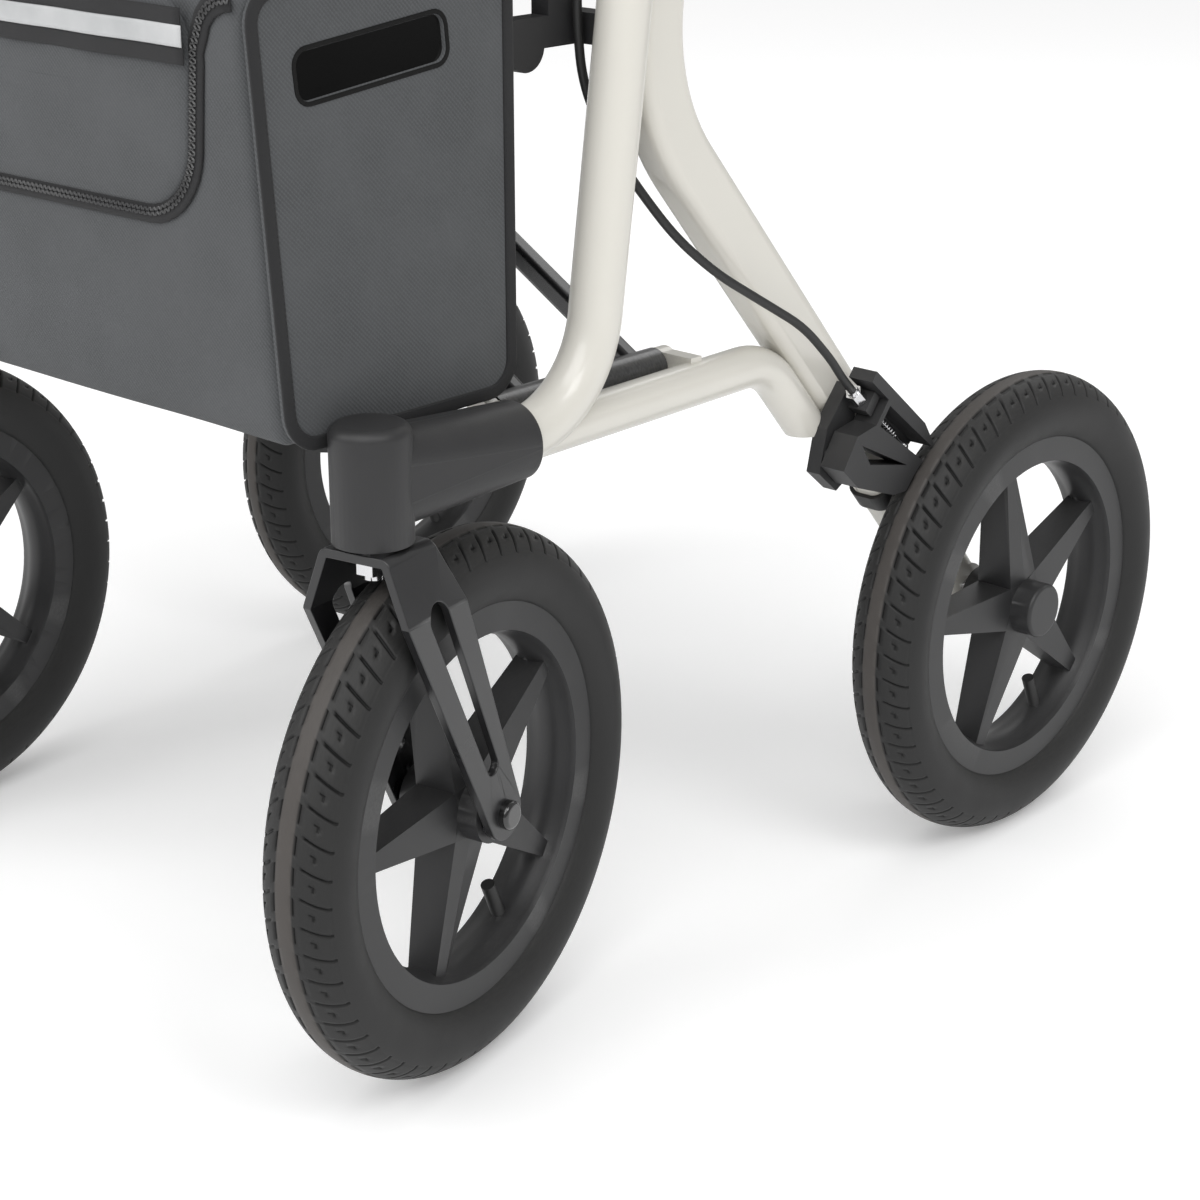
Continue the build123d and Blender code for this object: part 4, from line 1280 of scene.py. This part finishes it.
    def zip_path(self) -> list[Vector]:
        """The zip's line: down one side of the pocket, along its foot and up the other.

        Returns:
            The line's points in (x, z).
        """
        loop = self.pocket_loop(-3.2 * MM)
        turn = self.pocket_bottom + self.pocket_round
        low = [p for p in loop if p.y < self.zip_top]
        left = sorted((p for p in low if p.x > 0 and p.y > turn), key=lambda p: -p.y)
        foot = sorted((p for p in low if p.y <= turn), key=lambda p: -p.x)
        right = sorted((p for p in low if p.x < 0 and p.y > turn), key=lambda p: p.y)
        ends = [Vector((x * MM, z * MM)) for x, z in self.zip_end]
        mirror = [Vector((-p.x, p.y)) for p in reversed(ends)]
        return ends + left + foot + right + mirror

    def teeth(self, path: list[Vector], outward: Vector) -> bpy.types.Object:
        """Two rows of small coil teeth along the zip.

        Args:
            path: The zip's line.
            outward: The direction the teeth stand up in.

        Returns:
            The teeth as one piece.
        """
        verts: list[Vector] = []
        faces: list[tuple[int, ...]] = []
        walked, due, pitch = 0.0, 0.0, 1.7 * MM
        flip = 1
        for a, b in zip(path, path[1:]):
            run = (b - a).length
            along = (b - a).normalized()
            across = along.cross(outward).normalized()
            while due < walked + run:
                spot = a + along * (due - walked)
                for lane in (-1, 1):
                    middle = spot + across * (lane * 1.15 * MM) + outward * 1.9 * MM
                    lean = (across * lane * 1.0 + along * 0.6 * flip).normalized()
                    wide = along * 0.55 * MM
                    base = len(verts)
                    verts += [middle - lean * 1.3 * MM - wide, middle - lean * 1.3 * MM + wide,
                              middle + lean * 1.3 * MM + wide, middle + lean * 1.3 * MM - wide,
                              middle - lean * 0.7 * MM + outward * 0.8 * MM,
                              middle + lean * 0.7 * MM + outward * 0.8 * MM]
                    faces += ridge(base)
                due += pitch
                flip = -flip
            walked += run
        return link_mesh("bag_zip_teeth", verts, faces, smooth=False)

    def stripe(self) -> list[tuple[bpy.types.Object, Finish]]:
        """The reflective band between two dark tapes across the pocket.

        Returns:
            Each band with its finish.
        """
        made = []
        plan = (("upper", 8.9, 4.0, BINDING, 6.4), ("bright", 0.0, 5.2, REFLECTIVE, 6.9),
                ("lower", -9.1, 4.2, BINDING, 6.4))
        for word, rise, half, finish, proud in plan:
            path = []
            for k in range(73):
                x = (k / 72 * 2 - 1) * (self.pocket_half + 5.5 * MM)
                ripple = math.sin(k * 0.55) * 0.5 * MM
                spot = Vector((x, self.stripe_height + rise * MM))
                path.append(self.on_front(spot, proud * MM + ripple - 1 * MM))
            out = [Vector((0, -1, 0))] * len(path)
            band = swept_band(f"bag_stripe_{word}", path, out, half * MM, 0.7 * MM, False)
            made.append((band, finish))
        return made

    def fit(self, wardrobe: Wardrobe) -> None:
        """Builds and dresses the whole bag, which rides on the frame's left side.

        Args:
            wardrobe: The materials.
        """
        self.low, self.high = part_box("bag")
        pieces = [(self.shell(), BAG_TWILL)]
        for side in Side:
            outward = Vector((side.value, 0, 0))
            panel = self.side_panel(side)
            pieces.append((panel, BAG_TWILL))
            edge = self.on_side(self.panel_loop(self.binding_half), side)
            binding = swept_band(f"bag_binding_{side.word}", edge, [outward] * len(edge), self.binding_half,
                                 1.4 * MM, True)
            pieces.append((binding, BINDING))
            lip = self.on_side(self.slot_loop(0.9 * MM), side)
            rim = swept_band(f"bag_slot_lip_{side.word}", lip, [outward] * len(lip), 1.2 * MM, 0.6 * MM, True)
            # The slot's lip takes the same near-black lining, painted shade round the slot.
            pieces.append((rim, BAG_LINING_SHADE))
            seam = self.on_side(self.panel_loop(self.binding_half * 2 - 1.0 * MM), side, 1.0 * MM)
            pieces.append((self.stitches(f"bag_stitch_{side.word}", seam, outward), BINDING))
        pieces.append((self.pocket(), BAG_TWILL))
        line = [self.on_front(p, 0.4 * MM) for p in self.zip_path()]
        front = Vector((0, -1, 0))
        tape = swept_band("bag_zip_tape", line, [front] * len(line), 6.0 * MM, 1.2 * MM, False)
        pieces.append((tape, BINDING))
        pieces.append((self.teeth(line, front), ZIP_COIL))
        pieces += self.stripe()
        hem_z = self.high.z - 2 * MM
        hem = self.ring(self.wall * 0.5, hem_z, 0)
        hem_out = [Vector((0, 0, 1))] * len(hem)
        pieces.append((swept_band("bag_hem", hem, hem_out, 2.4 * MM, 1.8 * MM, True), BINDING))
        for number, (piece, finish) in enumerate(pieces):
            wardrobe.dress(piece, finish)
            if number == 0:
                self.line(piece, wardrobe.get(BAG_LINING_SHADE))
                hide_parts("bag")
            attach(piece, "side_left")
            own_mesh(piece)
        LOG.info("bag of %d pieces", len(pieces))


# ------------------------------------------------------------------ seat and backrest


@dataclass
class Seat:
    """The padded seat: crowned, quilted in three panels and piped round its edge."""

    inset: float = 5 * MM
    voxel: float = 5 * MM
    cap: float = 7 * MM
    channels: tuple[float, ...] = (-0.33, 0.33)
    channel_depth: float = 3.2 * MM
    channel_half: float = 4.5 * MM
    pressure: float = 4.0
    filling_frames: int = 20

    def form(self, low: Vector, high: Vector) -> bpy.types.Object:
        """The pad's starting form: a rounded slab a little smaller than its space.

        Args:
            low: The space's low corner.
            high: Its high corner.

        Returns:
            The form.
        """
        middle = (low + high) / 2
        half_w, half_d = (high.x - low.x) / 2 - self.inset, (high.y - low.y) / 2 - self.inset
        rings = []
        plan = ((60, 0.0), (20, 0.0), (4, 0.0), (0, 0.2), (0, 0.8), (4, 1.0), (20, 1.0), (60, 1.0))
        for inset, share in plan:
            z = low.z + 1.5 * MM + (high.z - low.z - 4 * MM) * share
            corner = max(6 * MM, 22 * MM - inset * MM)
            loop = rounded_loop(half_w - inset * MM, half_d - inset * MM, corner, 6, 30, 14)
            rings.append([Vector((middle.x + p.x, middle.y + p.y, z)) for p in loop])
        verts, faces = bridge(rings, cap_start=True, cap_end=True)
        return link_mesh("seat_pad", verts, faces)

    def inflate(self, pad: bpy.types.Object, floor: float) -> None:
        """Fills the pad by a cloth simulation with inner pressure, then applies it.

        Args:
            pad: The pad.
            floor: The height that no point may sink below.
        """
        rest = self.remeshed(pad)
        start = [v.co.copy() for v in rest.vertices]
        pad.data = rest
        cloth = pad.modifiers.new("fill", "CLOTH")
        cloth.settings.use_pressure = True
        cloth.settings.uniform_pressure_force = self.pressure
        cloth.settings.effector_weights.gravity = 0.0
        cloth.settings.quality = 4
        for frame_number in range(1, self.filling_frames + 1):
            bpy.context.scene.frame_set(frame_number)
        seen = pad.evaluated_get(bpy.context.evaluated_depsgraph_get())
        grown = [v.co.copy() for v in seen.data.vertices]
        pad.modifiers.clear()
        bpy.context.scene.frame_set(1)
        for vertex, before, after in zip(pad.data.vertices, start, grown):
            move = after - before
            if move.length > self.cap:
                move *= self.cap / move.length
            place = before + move
            place.z = max(place.z, floor)
            vertex.co = place

    def remeshed(self, pad: bpy.types.Object) -> bpy.types.Mesh:
        """The pad's mesh as even cells.

        Args:
            pad: The pad.

        Returns:
            The new mesh.
        """
        modifier = pad.modifiers.new("cells", "REMESH")
        modifier.mode = "VOXEL"
        modifier.voxel_size = self.voxel
        seen = pad.evaluated_get(bpy.context.evaluated_depsgraph_get())
        mesh = bpy.data.meshes.new_from_object(seen)
        pad.modifiers.clear()
        return mesh

    def quilt(self, pad: bpy.types.Object, low: Vector, high: Vector) -> None:
        """Presses the sewn channels into the pad's top.

        Args:
            pad: The pad.
            low: Its space's low corner.
            high: Its space's high corner.
        """
        half = (high.x - low.x) / 2
        for vertex in pad.data.vertices:
            if vertex.co.z < (low.z + high.z) / 2:
                continue
            for channel in self.channels:
                away = abs(vertex.co.x - channel * half)
                vertex.co.z -= self.channel_depth * math.exp(-((away / self.channel_half) ** 2))

    def fit(self, wardrobe: Wardrobe) -> None:
        """Builds the seat in the place of the frame's seat.

        Args:
            wardrobe: The materials.
        """
        low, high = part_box("seat")
        pad = self.form(low, high)
        self.inflate(pad, low.z)
        self.quilt(pad, low, high)
        smooth = pad.modifiers.new("smooth", "SUBSURF")
        smooth.levels = smooth.render_levels = 1
        for face in pad.data.polygons:
            face.use_smooth = True
        wardrobe.dress(pad, SEAT_CLOTH)
        middle = (low + high) / 2
        edge = [Vector((middle.x + p.x, middle.y + p.y, middle.z - 1 * MM)) for p in
                rounded_loop((high.x - low.x) / 2 - 1 * MM, (high.y - low.y) / 2 - 1 * MM, 24 * MM, 8, 40, 18)]
        outward = [(p - middle).normalized() for p in edge]
        piping = swept_band("seat_piping", edge, outward, 2.2 * MM, 1.4 * MM, True)
        wardrobe.dress(piping, BINDING)
        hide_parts("seat")
        for piece in (pad, piping):
            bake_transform(piece)
        LOG.info("seat pad of %d points", len(pad.data.vertices))


@dataclass
class Backrest:
    """The padded strap between the two clamps, bowed to the front."""

    thick: float = 12 * MM
    pad_share: float = 0.72
    steps: int = 90
    seam_every: int = 15
    seam_half: float = 0.9

    def fit(self, wardrobe: Wardrobe) -> None:
        """Builds the strap along its arc, thicker in its padded middle.

        Args:
            wardrobe: The materials.
        """
        low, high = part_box("backrest")
        half, depth = high.x, high.y - low.y - self.thick
        radius = (half ** 2 + depth ** 2) / (2 * depth)
        centre = Vector((0, low.y + self.thick / 2 + radius, (low.z + high.z) / 2))
        reach = math.asin(min(1.0, half / radius)) if depth < radius else math.pi / 2
        rings = []
        tall = (high.z - low.z) / 2
        for k in range(self.steps + 1):
            share = k / self.steps * 2 - 1
            turn = share * reach
            out = Vector((math.sin(turn), -math.cos(turn), 0))
            filled = 1 if abs(share) < self.pad_share else 0.35
            ease = max(0.0, min(1.0, (self.pad_share + 0.04 - abs(share)) / 0.05))
            fat = self.thick / 2 * (0.3 + 0.7 * ease)
            rise = tall * (0.72 + 0.28 * ease)
            seam = (k % self.seam_every - self.seam_every) / self.seam_half
            quilt = 1 - 0.28 * math.exp(-seam ** 2) * filled
            section = rounded_loop(fat * quilt, rise, fat * 0.9, 4, 1, 8)
            middle = centre + radius * out
            rings.append([middle + out * p.x + Vector((0, 0, p.y)) for p in section])
        verts, faces = bridge(rings, cap_start=True, cap_end=True)
        strap = link_mesh("backrest_strap", verts, faces)
        wardrobe.dress(strap, SEAT_CLOTH)
        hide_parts("backrest")
        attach(strap, "side_left")
        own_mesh(strap)
        LOG.info("backrest strap")


# ------------------------------------------------------------------ hard parts


@dataclass
class HardParts:
    """The carried-over frame nodes: their finishes and the small rounding of their edges."""

    finishes: dict[str, Finish] = field(default_factory=lambda: {
        "front_tube": FRAME_PAINT, "lower_tube": FRAME_PAINT, "rear_leg": FRAME_PAINT,
        "caster_housing": MOULDED, "seat_receiver": MOULDED, "post_clamp": MOULDED,
        "brake_bracket": MOULDED, "brake_arm": MOULDED, "brake_lever": MOULDED,
        "headset_bearings": STEEL, "front_bearings": STEEL, "rear_bearings": STEEL,
        "caster_stem": STEEL, "rear_axle": STEEL, "cable_adjuster": STEEL, "cross_pivots": STEEL,
        "fork": FORK_COAT, "handle_post": FORK_COAT, "brace_arm_a": FORK_COAT, "brace_arm_b": FORK_COAT,
        "front_axle": AXLE_BLACK, "front_rim": WHEEL_NYLON, "rear_rim": WHEEL_NYLON,
        "front_inner_tube": SLEEVE, "rear_inner_tube": SLEEVE,
        "hand_grip": GRIP_RUBBER, "brake_cable": SLEEVE,
    })
    rounded: dict[str, float] = field(default_factory=lambda: {
        "fork": 0.7 * MM, "brake_arm": 0.8 * MM, "brake_bracket": 0.5 * MM, "front_rim": 0.9 * MM,
        "rear_rim": 0.9 * MM, "caster_housing": 0.6 * MM, "seat_receiver": 0.6 * MM, "post_clamp": 0.8 * MM,
    })

    def dress(self, wardrobe: Wardrobe, nodes: dict[str, bpy.types.Object]) -> None:
        """Gives every carried-over node its finish.

        Args:
            wardrobe: The materials.
            nodes: The frame's nodes by name.
        """
        for name, node in nodes.items():
            stem = name.removesuffix("_left").removesuffix("_right")
            if stem not in self.finishes:
                continue
            wardrobe.dress(node, self.finishes[stem])
            weld = node.modifiers.new("weld", "WELD")
            weld.merge_threshold = 0.002 * MM
            if stem in self.rounded:
                edge = node.modifiers.new("edge", "BEVEL")
                edge.width = self.rounded[stem]
                edge.segments = 2
                edge.limit_method = "ANGLE"
                edge.angle_limit = math.radians(38)
                edge.harden_normals = True
        LOG.info("hard parts dressed")


# ------------------------------------------------------------------ studio


@dataclass
class Studio:
    """Pale floor, soft lights and the camera."""

    camera_place: Vector = field(default_factory=lambda: Vector((1.120, -1.083, 0.722)))
    camera_aim: Vector = field(default_factory=lambda: Vector((0.0005, 0.150, 0.1013)))
    lens: float = 76.4
    light_level: float = 0.40
    floor_reach: float = 12.0
    lamp_aim: Vector = field(default_factory=lambda: Vector((0.1, 0, 0.3)))

    def build(self) -> None:
        """Makes the floor, the world, the lights and the camera."""
        scene = bpy.context.scene
        scene.view_settings.view_transform = "Standard"
        self.world(scene)
        self.floor()
        self.sun("day", (0.28, -0.80, 1.0), 1.45, 50.0)
        self.area("key", Vector((2.1, -0.5, 2.2)), 1.1, 17.0)
        self.area("fill", Vector((-1.2, -2.2, 1.7)), 1.4, 16.0)
        self.area("back", Vector((-0.4, 2.4, 2.4)), 1.6, 14.0)
        data = bpy.data.cameras.new("view")
        data.lens = self.lens
        data.sensor_width = 36.0
        camera = linked("view", data)
        camera.location = self.camera_place
        camera.rotation_mode = "QUATERNION"
        camera.rotation_quaternion = (self.camera_aim - self.camera_place).to_track_quat("-Z", "Y")
        scene.camera = camera
        LOG.info("studio ready")

    def world(self, scene: bpy.types.Scene) -> None:
        """A white surround that lights the walker more softly than it looks.

        Args:
            scene: The scene that takes the world.
        """
        world = bpy.data.worlds.new("studio")
        world.use_nodes = True
        graph = Graph(world.node_tree)
        sky = world.node_tree.nodes["Background"]
        sky.inputs["Color"].default_value = (1.0, 1.0, 1.0, 1.0)
        rays = graph.add("LightPath")
        level = graph.spread(rays.outputs["Is Camera Ray"], to_min=self.light_level, to_max=1.0)
        graph.feed(sky.inputs["Strength"], level)
        scene.world = world

    def sun(self, name: str, towards: tuple[float, float, float], strength: float, spread: float) -> None:
        """A wide soft sun.

        Args:
            name: The light's name.
            towards: Direction from the walker to the sun.
            strength: Its strength.
            spread: Its apparent size in degrees.
        """
        data = bpy.data.lights.new(name, "SUN")
        data.energy = strength
        data.angle = math.radians(spread)
        lamp = linked(name, data)
        lamp.rotation_mode = "QUATERNION"
        lamp.rotation_quaternion = (-Vector(towards)).to_track_quat("-Z", "Y")

    def area(self, name: str, place: Vector, size: float, power: float) -> None:
        """One soft square light that looks at the walker's middle.

        Args:
            name: The light's name.
            place: Where it stands.
            size: Its width.
            power: Its power in watts.
        """
        data = bpy.data.lights.new(name, "AREA")
        data.size = size
        data.energy = power
        lamp = linked(name, data)
        lamp.location = place
        lamp.rotation_mode = "QUATERNION"
        lamp.rotation_quaternion = (self.lamp_aim - place).to_track_quat("-Z", "Y")

    def floor(self) -> None:
        """A wide pale floor under the wheels."""
        reach = self.floor_reach
        corners = [(-reach, -reach, 0), (reach, -reach, 0), (reach, reach, 0), (-reach, reach, 0)]
        floor = link_mesh("floor", corners, [(0, 1, 2, 3)], smooth=False)
        pale = bpy.data.materials.new("floor_pale")
        pale.use_nodes = True
        shader = pale.node_tree.nodes["Principled BSDF"]
        shader.inputs["Base Color"].default_value = (0.93, 0.93, 0.93, 1.0)
        shader.inputs["Roughness"].default_value = 0.9
        shader.inputs["Specular IOR Level"].default_value = 0.1
        shader.inputs["Emission Color"].default_value = (1.0, 1.0, 1.0, 1.0)
        shader.inputs["Emission Strength"].default_value = 0.22
        floor.data.materials.append(pale)


def main() -> None:
    """Builds the walker's pieces in order."""
    logging.basicConfig(level=logging.INFO, format="%(name)s: %(message)s")
    for stray in list(bpy.data.objects):
        bpy.data.objects.remove(stray)
    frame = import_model()
    joints = {joint["name"]: joint for joint in frame["joints"]}
    wardrobe = Wardrobe()
    Studio().build()
    HardParts().dress(wardrobe, frame["nodes"])
    Tyre().fit(wardrobe, joints)
    BrakeSprings().fit(wardrobe)
    Bag().fit(wardrobe)
    Seat().fit(wardrobe)
    Backrest().fit(wardrobe)


if __name__ == "__main__":
    main()
